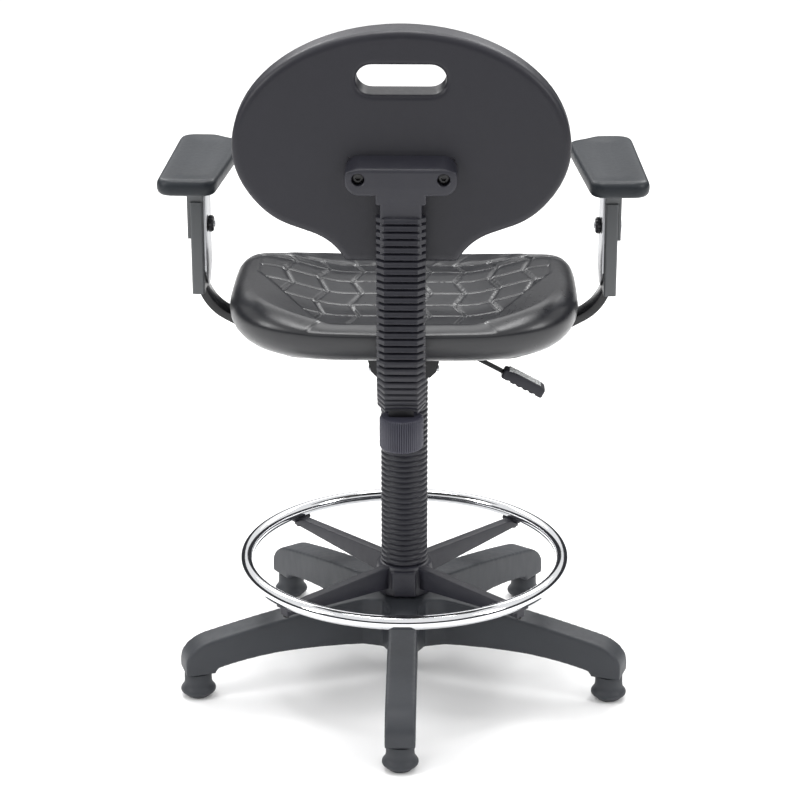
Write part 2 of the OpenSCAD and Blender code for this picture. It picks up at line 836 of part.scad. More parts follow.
module back_bracket() {
    bar_hole = [bar_w + 2 * slide_gap, bar_t + 2 * slide_gap];
    sunk = 22;
    stem_drop = 12;
    color("#34363a") difference() {
        union() {
            on_back() difference() {
                translate([0, 0, wing_s + wing_h / 2]) rotate([-90, 0, 0]) linear_extrude(wing_d)
                    round_rect(bracket_w, wing_h, 16);
                bracket_bores(bolt_r + run_fit);
                for (x = [-1, 1]) translate([x * bracket_pitch / 2, wing_d + eps, screw_s])
                    rotate([90, 0, 0]) cylinder(r = 8, h = wing_d - sunk + 7);
            }
            about_column() translate([-cover_w / 2, spine_y - sleeve_d / 2, wing_z - stem_drop])
                cube([cover_w, sleeve_d + 4, wing_h]);
            about_column() translate([-sleeve_w / 2, spine_y - sleeve_d / 2, sleeve_z])
                cube([sleeve_w, sleeve_d, wing_z - sleeve_z]);
        }
        about_column() translate([-bar_hole[0] / 2, spine_y - bar_hole[1] / 2, sleeve_z - eps])
            cube([bar_hole[0], bar_hole[1], wing_z + wing_h - 8 - sleeve_z]);
    }
}

module back_screws() {
    head = 7;
    seat_y = 23;
    on_back() color("#1c1d1f") for (x = [-1, 1]) translate([x * bracket_pitch / 2, 0, screw_s])
        rotate([-90, 0, 0]) difference() {
            union() {
                translate([0, 0, seat_y - head]) cylinder(r = 6.5, h = head);
                translate([0, 0, -core_t - insert_l + 2])
                    cylinder(r = bolt_r, h = seat_y + core_t + insert_l - 3);
            }
            translate([0, 0, seat_y - 4]) cylinder(r = 3.4, h = 6, $fn = 6);
        }
}

// ---- Arms: the left arm's local x points outward from its upright ----

module arm(side) {
    about_column() mirror([side < 0 ? 1 : 0, 0, 0]) translate([arm_x, arm_y, 0])
        rotate([0, 0, -arm_toe]) children();
}

module arm_bolt_holes(r) {
    for (side = [-1, 1], y = [-1, 1]) mirror([side < 0 ? 1 : 0, 0, 0]) translate([arm_x, arm_y, 0])
        rotate([0, 0, -arm_toe]) translate([tab_x() + tab_l / 2, y * tab_bolt, pan_z - 20])
            cylinder(r = r, h = 60);
}

function arm_flat_z() = pan_z - tab_t - arm_bar_t / 2;

// Local x where the bar turns level, under the seat
function arm_level_x() = let (
    x1 = -arm_r + arm_r * sin(arm_slope),
    z1 = arm_bend_z - arm_r * cos(arm_slope),
    fall = z1 - arm_flat_z() - arm_low_r * (1 - cos(arm_slope)))
    x1 - fall / tan(arm_slope) - arm_low_r * sin(arm_slope);

function tab_x() = plate_w / 2 + 8 - arm_x;

// Points on a bend whose angle is counted from straight down
function swing(cx, cz, r, a0, a1, n = 10) =
    [for (i = [0:n]) let (a = a0 + (a1 - a0) * i / n) [cx + r * sin(a), cz - r * cos(a)]];

module arm_bar_outline(grow = 0) {
    half = arm_bar_t / 2 + grow;
    flat_z = arm_flat_z();
    x = arm_level_x();
    z = flat_z + arm_low_r;
    polygon(concat(
        [[-half, arm_bar_top], [half, arm_bar_top]],
        swing(-arm_r, arm_bend_z, arm_r + half, 90, arm_slope),
        swing(x, z, arm_low_r + half, arm_slope, 0, 5),
        [[tab_x(), flat_z - half], [tab_x(), flat_z + half]],
        swing(x, z, arm_low_r - half, 0, arm_slope, 5),
        swing(-arm_r, arm_bend_z, arm_r - half, arm_slope, 90)
    ));
}

module arm_bar(side) {
    arm(side) color("#1d1e20") difference() {
        union() {
            along(-arm_bar_w / 2, arm_bar_w / 2) arm_bar_outline();
            translate([tab_x(), -tab_w / 2, pan_z - tab_t]) cube([tab_l, tab_w, tab_t]);
        }
        for (y = [-1, 1]) translate([tab_x() + tab_l / 2, y * tab_bolt, pan_z - 20])
            cylinder(r = bolt_r + run_fit, h = 40);
    }
}

module arm_bolts() {
    for (side = [-1, 1]) arm(side) color("silver") for (y = [-1, 1])
        translate([tab_x() + tab_l / 2, y * tab_bolt, pan_z - tab_t - bolt_head]) {
            cylinder(r = bolt_head_r, h = bolt_head);
            cylinder(r = bolt_r, h = bolt_head + tab_t + pan_t - 2);
        }
}

module arm_cover(side) {
    fit = slide_gap / 2;
    arm(side) color("#4a4d52") difference() {
        translate([0, 0, cover_z]) linear_extrude(arm_h) round_rect(arm_t, arm_d, 3);
        along(-arm_bar_w / 2 - fit, arm_bar_w / 2 + fit) arm_bar_outline(fit);
        translate([-arm_t, -clamp_r - slide_gap, clamp_z - clamp_r - slide_gap])
            cube([2 * arm_t, 2 * (clamp_r + slide_gap), arm_travel + 2 * (clamp_r + slide_gap)]);
    }
}

module arm_slide(side) {
    x0 = arm_t / 2 + slide_gap;
    arm(side) color("#424549") difference() {
        union() {
            translate([-x0, -arm_d / 2 + 3, cover_top + slide_gap])
                cube([2 * x0, arm_d - 6, pad_z - cover_top - slide_gap]);
            translate([x0, -arm_d / 2 + 5, lug_z]) cube([lug_t, arm_d - 10, pad_z - lug_z]);
            translate([0, 0, pad_z]) linear_extrude(pad_plate_t) round_rect(pad_w - 22, pad_len - 90, 14);
        }
        clamp_bore();
    }
}

module clamp_bore() {
    translate([-arm_d / 2, 0, clamp_z]) rotate([0, 90, 0]) cylinder(r = clamp_r + run_fit, h = arm_d);
}

module arm_strip(side) {
    x0 = -arm_t / 2 - slide_gap - strip_t;
    half = arm_d / 2 - 5;
    low = cover_z + 8;
    arm(side) color("#c9cdd1") difference() {
        translate([x0, 0, 0]) rotate([90, 0, 90]) linear_extrude(strip_t) polygon([
            [-half, pad_z - 2], [half, pad_z - 2], [half, low + 22], [half - 18, low], [18 - half, low],
            [-half, low + 22]]);
        clamp_bore();
    }
}

module arm_bolt(side) {
    x0 = arm_t / 2 + slide_gap;
    inner = x0 + strip_t + slide_gap + knob_t + 2;
    arm(side) color("silver") translate([-inner, 0, clamp_z]) rotate([0, 90, 0]) {
        cylinder(r = clamp_r, h = inner + x0 + lug_t + 1);
        translate([0, 0, inner + x0 + lug_t]) cylinder(r = 9, h = 3);
    }
}

module arm_knob(side) {
    x0 = arm_t / 2 + 2 * slide_gap + strip_t + knob_t;
    arm(side) color("#1f2023") translate([-x0, 0, clamp_z]) rotate([0, 90, 0])
        tube(knob_r, clamp_r + run_fit, knob_t);
}

// An arm pad seen from above: straight outside, wider inside towards the front
module pad_outline() {
    out = pad_w / 2;
    front = pad_rear - pad_len;
    flare = 11;
    r = 20;
    polygon(concat(
        arc(out - r, pad_rear - r, r, 0, 90, 6),
        arc(r - out, pad_rear - r, r, 90, 174, 6),
        arc(r - out - flare, front + 2 * r, r, 180, 225, 4),
        arc(2 * r - out - flare + 6, front + r, r, 225, 270, 4),
        arc(out - r, front + r, r, 270, 360, 6)
    ));
}

module arm_pad(side) {
    arm(side) color("#4d5055") difference() {
        translate([0, 0, pad_z + 1]) linear_extrude(pad_t) pad_outline();
        translate([0, 0, pad_z]) linear_extrude(pad_plate_t)
            round_rect(pad_w - 22 + 0.2, pad_len - 90 + 0.2, 14);
    }
}

// ---- Lever: it leaves the housing on the sitter's right ----

// Moves a shape drawn along +X from the pivot to the lever's sloping line
module on_lever() {
    about_column() translate([-lever_x, 0, lever_z]) rotate([0, 0, 180]) rotate([0, lever_slope, 0])
        children();
}

module lever_rod() {
    color("#1b1c1e") {
        about_column() translate([-lever_x, 0, lever_z]) difference() {
            union() {
                rotate([0, 90, 0]) cylinder(r = lever_d / 2, h = lever_x + 3);
                translate([0, -ear_gap + slide_gap, 0]) rotate([-90, 0, 0])
                    cylinder(r = lever_hub, h = 2 * (ear_gap - slide_gap));
                rotate([0, 0, 180]) rotate([0, lever_slope, 0]) rotate([0, 90, 0])
                    cylinder(r = lever_d / 2, h = rod_run + 25);
            }
            translate([0, -20, 0]) rotate([-90, 0, 0]) cylinder(r = lever_pin_r + run_fit, h = 40);
        }
    }
}

module lever_pin() {
    about_column() color("silver") translate([-lever_x, -ear_gap - ear_t, lever_z]) rotate([-90, 0, 0])
        cylinder(r = lever_pin_r, h = 2 * (ear_gap + ear_t));
}

module lever_paddle() {
    on_lever() color("#3a3c40") difference() {
        translate([rod_run, 0, 0]) rotate([90, 0, 0]) translate([0, 0, -paddle_w / 2])
            linear_extrude(paddle_w) polygon([[0, 7], [4, 7], [6, paddle_h / 2 + 2],
                [paddle_len - 6, paddle_h / 2 + 2], [paddle_len, paddle_h / 2 - 3], [paddle_len, -6],
                [paddle_len - 5, -paddle_h / 2], [0, -paddle_h / 2]]);
        translate([rod_run - eps, 0, 0]) rotate([0, 90, 0]) cylinder(r = lever_d / 2 + run_fit, h = 26);
        translate([rod_run + 8, -paddle_w / 2 + 2, paddle_h / 2 + 2 - cap_t])
            cube([paddle_len - 16, paddle_w - 4, 10]);
    }
}

module lever_cap() {
    on_lever() color("#a9adb2") translate([rod_run + 8 + paddle_len / 2 - 8, 0, paddle_h / 2 + 2 - cap_t])
        linear_extrude(cap_t) round_rect(paddle_len - 16.2, paddle_w - 4.2, 1.5);
}

// ---- What is drawn ----

star_base();
hub_ring();
glide(1);  // glide_1
glide(2);  // glide_2
glide(3);  // glide_3
glide(4);  // glide_4
glide(5);  // glide_5
glide_stems();
column_tube();
guide_bush();
thrust_bearing();
footring_tube();
footring_spider();
ring_screws();
piston_rod();
piston();
rod_clip();
column_bellows();
gas_cylinder();
mechanism_housing();
column_socket();
seat_plate();
seat_pan();
seat_foam();
seat_bolts();
tee_nuts();
arm_bar(1);  // arm_bar_left
arm_bar(-1);  // arm_bar_right
arm_bolts();
arm_cover(1);  // arm_cover_left
arm_cover(-1);  // arm_cover_right
spine_pin();
lever_pin();
release_pin();
lever_rod();
lever_paddle();
lever_cap();
spine_bar();
elbow_block();
elbow_bellows();
spine_bellows();
lock_wheel();
wheel_stud();
back_bracket();
back_screws();
back_inserts();
back_core();
back_foam();
arm_slide(1);  // arm_slide_left
arm_slide(-1);  // arm_slide_right
arm_strip(1);  // arm_strip_left
arm_strip(-1);  // arm_strip_right
arm_bolt(1);  // arm_bolt_left
arm_bolt(-1);  // arm_bolt_right
arm_knob(1);  // arm_knob_left
arm_knob(-1);  // arm_knob_right
arm_pad(1);  // arm_pad_left
arm_pad(-1);  // arm_pad_right
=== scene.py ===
"""Drafting chair: its visible pieces, finishes and studio, laid out as an add-on.

Each operator models one piece, or a group of like pieces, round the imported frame. Lengths
are in metres. The sitter faces -Y, and +X is the sitter's left.
"""
import math

import bmesh
import bpy
from mathutils import Matrix, Vector


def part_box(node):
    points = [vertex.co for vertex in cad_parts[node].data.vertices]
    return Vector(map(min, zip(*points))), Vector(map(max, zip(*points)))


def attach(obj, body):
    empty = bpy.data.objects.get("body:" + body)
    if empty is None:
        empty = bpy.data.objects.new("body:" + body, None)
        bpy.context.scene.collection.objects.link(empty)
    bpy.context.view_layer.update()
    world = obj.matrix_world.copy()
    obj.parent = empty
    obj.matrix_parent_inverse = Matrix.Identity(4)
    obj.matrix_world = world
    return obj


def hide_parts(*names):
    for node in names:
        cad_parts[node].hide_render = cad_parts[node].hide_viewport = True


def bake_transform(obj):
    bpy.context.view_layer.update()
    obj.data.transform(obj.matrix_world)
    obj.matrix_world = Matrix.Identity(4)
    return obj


bl_info = {
    "name": "Drafting Chair",
    "version": (1, 0, 0),
    "blender": (4, 5, 0),
    "location": "3D View > Sidebar > Chair",
    "description": "Models the visible pieces of a drafting chair round its packed frame",
    "category": "Add Mesh",
}

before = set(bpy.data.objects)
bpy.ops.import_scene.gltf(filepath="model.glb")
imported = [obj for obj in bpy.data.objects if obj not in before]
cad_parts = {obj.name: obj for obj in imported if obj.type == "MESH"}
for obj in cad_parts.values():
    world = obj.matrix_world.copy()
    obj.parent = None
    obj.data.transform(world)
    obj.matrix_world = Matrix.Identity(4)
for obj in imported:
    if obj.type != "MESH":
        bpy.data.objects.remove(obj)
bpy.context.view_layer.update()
SIDES = (("left", 1), ("right", -1))


def low(node):
    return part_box(node)[0]


def high(node):
    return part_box(node)[1]


def centre(node):
    return (low(node) + high(node)) / 2


AXIS_Y = centre("column_tube").y
HUB_TOP = high("star_base").z
SPINE_Y = centre("spine_bellows").y
BEND_Z = low("spine_bellows").z
BACK_LEAN = math.radians(4.6)
BACK_WAIST = 0.147    # height of the backrest's widest line over its foot
BACK_CROWN = 0.149    # from that line up to its top
SLOT_HEIGHT = BACK_WAIST + 0.59 * BACK_CROWN
ARM_TOE = math.radians(2)


# ---- The user's sizes and colours ----

def length(name, description, default):
    return bpy.props.FloatProperty(
        name=name, description=description, default=default, min=0.0, unit="LENGTH", precision=4)


def tint(name, description, default):
    return bpy.props.FloatVectorProperty(
        name=name, description=description, default=default, min=0.0, max=1.0, subtype="COLOR")


class ChairSizes(bpy.types.PropertyGroup):
    leg_width: length("Leg width", "Width of a leg of the base", 0.040)
    leg_round: length("Leg rounding", "Rounding along a leg's upper edges", 0.007)
    ridge_pitch: length("Ridge pitch", "Height of one ridge of the round bellows", 0.0077)
    ridge_depth: length("Ridge depth", "Depth of the grooves of the round bellows", 0.0022)
    fold_pitch: length("Fold pitch", "Height of one fold of the flat-sided bellows", 0.0092)
    fold_depth: length("Fold depth", "Depth of the grooves of the flat-sided bellows", 0.0042)
    tile_width: length("Tile width", "Width of a tile of the seat's tread", 0.046)
    tile_length: length("Tile length", "Depth of a row of the seat's tread", 0.051)
    groove_depth: length("Groove depth", "Depth of the grooves between tiles", 0.0024)
    back_round: length("Backrest rounding", "Rounding round the backrest's rim", 0.012)
    pad_round: length("Arm pad rounding", "Rounding round an arm pad's rim", 0.008)
    edge: length("Edge", "Small rounding on the metal parts' edges", 0.0008)


class ChairColours(bpy.types.PropertyGroup):
    nylon: tint("Nylon", "Moulded nylon of the base", (0.030, 0.033, 0.039))
    skin: tint("Skin", "Foam skin of the seat", (0.010, 0.0105, 0.013))
    back_skin: tint("Back skin", "Foam skin of the backrest", (0.012, 0.0118, 0.017))
    pad_skin: tint("Pad skin", "Foam skin of the arm pads", (0.012, 0.015, 0.019))
    rubber: tint("Rubber", "Rubber of the bellows", (0.012, 0.012, 0.018))
    plastic: tint("Plastic", "Moulded covers and bracket", (0.016, 0.016, 0.023))
    paint: tint("Paint", "Black paint on steel", (0.004, 0.004, 0.005))
    chrome: tint("Chrome", "Plating of the foot ring", (0.80, 0.81, 0.83))
    steel: tint("Steel", "Bright steel", (0.50, 0.51, 0.53))
    cap: tint("Cap", "Grey cap on the lever", (0.42, 0.43, 0.43))
    floor: tint("Floor", "Studio floor", (0.93, 0.93, 0.93))


def sizes():
    return bpy.context.scene.chair_sizes


def colours():
    return bpy.context.scene.chair_colours


# ---- Modelling by hand ----

def clear_selection():
    if bpy.context.object and bpy.context.object.mode != "OBJECT":
        bpy.ops.object.mode_set(mode="OBJECT")
    bpy.ops.object.select_all(action="DESELECT")


def take(obj):
    """Makes obj the only selected object."""
    clear_selection()
    obj.select_set(True)
    bpy.context.view_layer.objects.active = obj
    return obj


def added(name):
    """Names what an add operator has just made."""
    obj = bpy.context.object
    obj.name = name
    obj.data.name = name
    return obj


def settle(obj):
    """Puts obj's place, turn and scale into its mesh."""
    take(obj)
    bpy.ops.object.transform_apply(location=True, rotation=True, scale=True)
    return obj


def choose(obj, kind, test):
    """Enters edit mode with the vertices, edges or faces selected whose middle passes the test."""
    take(obj)
    bpy.ops.object.mode_set(mode="EDIT")
    bpy.ops.mesh.select_mode(type=kind)
    bpy.ops.mesh.select_all(action="DESELECT")
    shape = bmesh.from_edit_mesh(obj.data)
    if kind == "VERT":
        for vert in shape.verts:
            vert.select_set(bool(test(vert.co)))
    else:
        for item in (shape.edges if kind == "EDGE" else shape.faces):
            middle = sum((v.co for v in item.verts), Vector()) / len(item.verts)
            item.select_set(bool(test(middle, item)))
    bmesh.update_edit_mesh(obj.data)


def leave():
    bpy.ops.object.mode_set(mode="OBJECT")


def modified(obj, kind, **settings):
    """Adds a modifier to obj and applies it."""
    take(obj)
    modifier = obj.modifiers.new(kind.lower(), kind)
    for key, value in settings.items():
        setattr(modifier, key, value)
    bpy.ops.object.modifier_apply(modifier=modifier.name)
    return obj


def rounded(obj, width, segments=3, angle=30):
    """Rounds obj's sharp edges."""
    return modified(obj, "BEVEL", width=width, segments=segments, limit_method="ANGLE",
                    angle_limit=math.radians(angle), use_clamp_overlap=True)


def block(name, lowest, highest, rounding=0.0, segments=3):
    """A rounded block between two corners."""
    a, b = Vector(lowest), Vector(highest)
    clear_selection()
    bpy.ops.mesh.primitive_cube_add(size=1, location=(a + b) / 2, scale=b - a)
    obj = settle(added(name))
    if rounding:
        rounded(obj, rounding, segments)
    return obj


def turned(name, profile, at=(0.0, 0.0), steps=64, closed=False):
    """Turns a profile of (radius, height) points about a vertical axis, ring by ring.

    An open profile gets a lid at both ends, and a closed one comes back to its first ring.
    """
    radius, height = profile[0]
    clear_selection()
    bpy.ops.mesh.primitive_circle_add(vertices=steps, radius=radius, location=(*at, height))
    obj = settle(added(name))
    bpy.ops.object.mode_set(mode="EDIT")
    bpy.ops.mesh.select_mode(type="EDGE")
    bpy.ops.mesh.select_all(action="SELECT")
    if not closed:
        bpy.ops.mesh.edge_face_add()
        bpy.ops.mesh.select_mode(type="EDGE")
    for next_radius, next_height in profile[1:] + ([profile[0]] if closed else []):
        bpy.ops.mesh.extrude_edges_move(
            TRANSFORM_OT_translate={"value": (0, 0, next_height - height)})
        share = next_radius / radius
        bpy.ops.transform.resize(value=(share, share, 1), center_override=(*at, next_height))
        radius, height = next_radius, next_height
    if closed:
        bpy.ops.mesh.select_all(action="SELECT")
        bpy.ops.mesh.remove_doubles(threshold=1e-6)
    else:
        bpy.ops.mesh.edge_face_add()
    leave()
    return obj


def mould(obj, shape):
    """Moves every vertex of obj to the place that shape gives for it."""
    for vert in obj.data.vertices:
        vert.co = shape(vert.co)
    obj.data.update()
    return obj


def divide(obj, axis, cuts):
    """Cuts the edges that run along one axis into equal lengths."""
    def runs(_, edge):
        way = edge.verts[1].co - edge.verts[0].co
        return abs(way[axis]) > 0.99 * way.length
    choose(obj, "EDGE", runs)
    bpy.ops.mesh.subdivide(number_cuts=cuts)
    leave()
    return obj


def place(obj, matrix):
    """Puts obj where a matrix says, with its place in its mesh."""
    obj.matrix_world = matrix
    bpy.context.view_layer.update()
    return settle(obj)


def copy_of(obj, name):
    """A copy of obj with a mesh of its own."""
    take(obj)
    bpy.ops.object.duplicate()
    return added(name)


def merged(pieces, name):
    """Joins pieces into one object, as separate closed shells."""
    clear_selection()
    for piece in pieces:
        piece.select_set(True)
    bpy.context.view_layer.objects.active = pieces[0]
    bpy.ops.object.join()
    return added(name)


def combined(obj, others, operation="UNION"):
    """Adds other solids to obj, or cuts them out of it."""
    for other in others:
        modified(obj, "BOOLEAN", object=other, operation=operation, solver="EXACT")
        bpy.data.objects.remove(other)
    return obj


def cut(obj, *tools):
    return combined(obj, tools, "DIFFERENCE")


def reskinned(obj, voxel, passes):
    """Gives obj an even skin and lets its corners soften."""
    modified(obj, "REMESH", mode="VOXEL", voxel_size=voxel, use_smooth_shade=True)
    return modified(obj, "SMOOTH", factor=0.5, iterations=passes)


def from_frame(node, name, edge=0.0, segments=2):
    """A merged copy of a frame node's mesh, with its sharp edges slightly rounded."""
    clear_selection()
    obj = bpy.data.objects.new(name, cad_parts[node].data.copy())
    bpy.context.scene.collection.objects.link(obj)
    obj.data.materials.clear()
    take(obj)
    bpy.ops.object.mode_set(mode="EDIT")
    bpy.ops.mesh.select_all(action="SELECT")
    bpy.ops.mesh.remove_doubles(threshold=2e-6)
    bpy.ops.mesh.dissolve_limited(angle_limit=math.radians(0.6))
    leave()
    return rounded(obj, edge, segments, 32) if edge else obj


def face_outwards(obj):
    take(obj)
    bpy.ops.object.mode_set(mode="EDIT")
    bpy.ops.mesh.select_all(action="SELECT")
    bpy.ops.mesh.remove_doubles(threshold=1e-6)
    bpy.ops.mesh.normals_make_consistent(inside=False)
    leave()


def finished(obj, body, finish, nodes=(), slot=None, smooth=35, outwards=True):
    """Settles a piece, gives it its finish, and lets it ride on its body for its nodes."""
    settle(obj)
    if outwards:
        face_outwards(obj)
    take(obj)
    bpy.ops.object.shade_smooth_by_angle(angle=math.radians(smooth))
    obj.data.materials.clear()
    obj.data.materials.append(material(finish))
    if body:
        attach(obj, body)
    if nodes:
        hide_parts(*nodes)
    clear_selection()
    return obj


def ease(share):
    """A smooth step from 0 to 1."""
    t = min(max(share, 0.0), 1.0)
    return t * t * (3 - 2 * t)


# ---- Finishes ----

class Nodes:
    """Short ways to add and link a material's nodes."""

    def __init__(self, name):
        self.made = bpy.data.materials.new(name)
        self.made.use_nodes = True
        self.tree = self.made.node_tree
        self.shader = self.tree.nodes["Principled BSDF"]
        coordinates = self.add("ShaderNodeTexCoord")
        self.place = coordinates.outputs["Object"]

    def add(self, kind, **settings):
        node = self.tree.nodes.new(kind)
        for key, value in settings.items():
            setattr(node, key, value)
        return node

    def link(self, source, target):
        self.tree.links.new(source, target)

    def stretched(self, scale):
        mapping = self.add("ShaderNodeMapping")
        mapping.inputs["Scale"].default_value = scale
        self.link(self.place, mapping.inputs["Vector"])
        return mapping.outputs["Vector"]

    def noise(self, scale, detail=3.0, roughness=0.55, place=None):
        node = self.add("ShaderNodeTexNoise")
        node.inputs["Scale"].default_value = scale
        node.inputs["Detail"].default_value = detail
        node.inputs["Roughness"].default_value = roughness
        self.link(place or self.place, node.inputs["Vector"])
        return node.outputs["Fac"]

    def cells(self, scale, place=None):
        node = self.add("ShaderNodeTexVoronoi", feature="F1")
        node.inputs["Scale"].default_value = scale
        self.link(place or self.place, node.inputs["Vector"])
        return node.outputs["Distance"]

    def shades(self, factor, dark, light, start=0.3, end=0.7):
        ramp = self.add("ShaderNodeValToRGB")
        ramp.color_ramp.elements[0].position = start
        ramp.color_ramp.elements[0].color = (*dark, 1)
        ramp.color_ramp.elements[1].position = end
        ramp.color_ramp.elements[1].color = (*light, 1)
        self.link(factor, ramp.inputs["Fac"])
        return ramp.outputs["Color"]

    def span(self, factor, lowest, highest, start=0.3, end=0.7):
        node = self.add("ShaderNodeMapRange")
        node.inputs["From Min"].default_value = start
        node.inputs["From Max"].default_value = end
        node.inputs["To Min"].default_value = lowest
        node.inputs["To Max"].default_value = highest
        self.link(factor, node.inputs["Value"])
        return node.outputs["Result"]

    def mixed(self, first, second, share=0.5):
        """A weighted mean of two factors."""
        node = self.add("ShaderNodeMix")
        node.inputs["Factor"].default_value = share
        self.link(first, node.inputs["A"])
        self.link(second, node.inputs["B"])
        return node.outputs["Result"]

    def colour(self, factor, base, spread, start=0.3, end=0.7):
        dark = [c * (1 - spread) for c in base]
        light = [min(1.0, c * (1 + spread)) for c in base]
        self.link(self.shades(factor, dark, light, start, end), self.shader.inputs["Base Color"])

    def roughness(self, factor, lowest, highest):
        self.link(self.span(factor, lowest, highest), self.shader.inputs["Roughness"])

    def relief(self, factor, depth, strength=1.0):
        bump = self.add("ShaderNodeBump")
        bump.inputs["Strength"].default_value = strength
        bump.inputs["Distance"].default_value = depth
        self.link(factor, bump.inputs["Height"])
        self.link(bump.outputs["Normal"], self.shader.inputs["Normal"])

    def set(self, **values):
        for key, value in values.items():
            self.shader.inputs[key.replace("_", " ")].default_value = value


def moulded(name, base, gloss, grain=1400, depth=0.00006, spread=0.10):
    """Moulded plastic or rubber: a spark-eroded grain under soft patches of shade."""
    made = Nodes(name)
    patches = made.noise(14, 4)
    scuffs = made.noise(90, 5, 0.65, made.stretched((1, 1, 0.35)))
    made.colour(made.mixed(patches, scuffs, 0.4), base, spread)
    made.roughness(scuffs, gloss - 0.06, gloss + 0.07)
    made.relief(made.mixed(made.noise(grain, 2), made.cells(grain * 0.6), 0.4), depth, 0.7)
    made.set(Specular_IOR_Level=0.45)
    return made.made


def foam_skin(name, base, gloss, grain, depth, shine):
    """Self-skinned foam: a fine leather grain of cells, its roughness varying in soft patches."""
    made = Nodes(name)
    patches = made.noise(9, 4)
    cells = made.cells(grain)
    fine = made.noise(grain * 2.2, 2)
    made.colour(made.mixed(patches, cells, 0.25), base, 0.12, 0.25, 0.7)
    made.roughness(made.mixed(patches, made.noise(160, 4), 0.5), gloss - 0.06, gloss + 0.08)
    made.relief(made.mixed(cells, fine, 0.45), depth, 0.8)
    made.set(Specular_IOR_Level=shine)
    return made.made


def painted(name, base, gloss, coat=0.35):
    """Sprayed paint on steel, with a faint orange peel under a clear top."""
    made = Nodes(name)
    made.colour(made.noise(30, 4), base, 0.15)
    made.roughness(made.noise(120, 4), gloss - 0.04, gloss + 0.06)
    made.relief(made.noise(420, 2), 0.00012, 0.35)
    made.set(Specular_IOR_Level=0.3, Coat_Weight=coat, Coat_Roughness=0.08)
    return made.made


def plated(name, base, gloss):
    """Chrome plate over a polished tube: faint polishing lines and finger marks."""
    made = Nodes(name)
    made.colour(made.noise(24, 4), base, 0.04)
    made.roughness(made.noise(60, 5, 0.7), gloss, gloss + 0.05)
    made.relief(made.noise(70, 2, 0.4), 0.00015, 0.12)
    made.set(Metallic=1.0)
    return made.made


def brushed(name, base, gloss, along):
    """Bright steel with the lines that a belt leaves along one way."""
    made = Nodes(name)
    lines = made.noise(900, 3, 0.6, made.stretched(along))
    made.colour(made.mixed(lines, made.noise(40, 4), 0.4), base, 0.12)
    made.roughness(lines, gloss - 0.05, gloss + 0.1)
    made.relief(lines, 0.00004, 0.5)
    made.set(Metallic=1.0)
    return made.made


def speckled(name, base, gloss):
    """The lever's grey cap: two greys in coarse blots, its roughness following the blots."""
    made = Nodes(name)
    blots = made.mixed(made.noise(260, 3), made.cells(420), 0.35)
    made.colour(blots, base, 0.55, 0.38, 0.56)
    made.roughness(blots, gloss, gloss + 0.2)
    made.relief(made.noise(700, 2), 0.00012, 0.6)
    return made.made


def board(name):
    """Black-stained plywood inside the seat."""
    made = Nodes(name)
    made.colour(made.noise(60, 5, 0.6, made.stretched((0.08, 1, 1))), (0.030, 0.026, 0.022), 0.3)
    made.roughness(made.noise(200, 3), 0.55, 0.75)
    made.relief(made.noise(300, 3), 0.0001, 0.5)
    return made.made


def ground(name, base):
    """The studio's pale floor."""
    made = Nodes(name)
    made.colour(made.noise(1.5, 2), base, 0.01)
    made.roughness(made.noise(3, 2), 0.75, 0.85)
    return made.made


FINISHES = {
    "nylon": lambda name: moulded(name, colours().nylon, 0.52, 1300, 0.00008, 0.10),
    "glide": lambda name: moulded(name, [c * 0.95 for c in colours().nylon], 0.55, 1100, 0.00008),
    "seat_skin": lambda name: foam_skin(name, colours().skin, 0.31, 700, 0.00002, 0.55),
    "back_skin": lambda name: foam_skin(name, colours().back_skin, 0.44, 800, 0.00003, 0.38),
    "pad_skin": lambda name: foam_skin(name, colours().pad_skin, 0.44, 700, 0.00003, 0.32),
    "rubber": lambda name: moulded(name, colours().rubber, 0.45, 1500, 0.00004, 0.12),
    "plastic": lambda name: moulded(name, colours().plastic, 0.46, 1500, 0.00005),
    "arm_plastic": lambda name: moulded(name, [c * 1.5 for c in colours().plastic],
                                        0.48, 1500, 0.00005),
    "wheel": lambda name: moulded(name, [c * 2.4 for c in colours().plastic], 0.45, 1500, 0.00005),
    "knob": lambda name: moulded(name, [c * 0.5 for c in colours().plastic], 0.4, 1500, 0.00004),
    "black_paint": lambda name: painted(name, colours().paint, 0.22),
    "satin_paint": lambda name: painted(name, [c * 1.6 for c in colours().paint], 0.42, 0.05),
    "chrome": lambda name: plated(name, colours().chrome, 0.04),
    "zinc": lambda name: brushed(name, colours().steel, 0.38, (0.3, 0.3, 0.3)),
    "strip": lambda name: brushed(name, [c * 0.75 for c in colours().steel], 0.30, (1, 1, 0.04)),
    "insert": lambda name: brushed(name, (0.72, 0.55, 0.25), 0.35, (1, 1, 0.1)),
    "screw": lambda name: painted(name, [c * 1.2 for c in colours().paint], 0.32),
    "bush": lambda name: moulded(name, (0.70, 0.69, 0.64), 0.45, 1200, 0.00004, 0.04),
    "cap": lambda name: speckled(name, colours().cap, 0.42),
    "board": board,
    "drape": lambda name: moulded(name, (0.02, 0.02, 0.025), 0.8),
    "floor": lambda name: ground(name, colours().floor),
}


def material(finish):
    """The material for a finish, made the first time that it is asked for."""
    return bpy.data.materials.get(finish) or FINISHES[finish](finish)


# ---- Places that several pieces share ----

BACK_PLACE = (Matrix.Translation((0, SPINE_Y - 0.025, low("back_foam").z))
              @ Matrix.Rotation(-BACK_LEAN, 4, "X"))
LEVER_PLACE = (Matrix.Translation((centre("lever_pin").x, AXIS_Y, centre("lever_pin").z))
               @ Matrix.Rotation(math.pi, 4, "Z") @ Matrix.Rotation(math.radians(28), 4, "Y"))


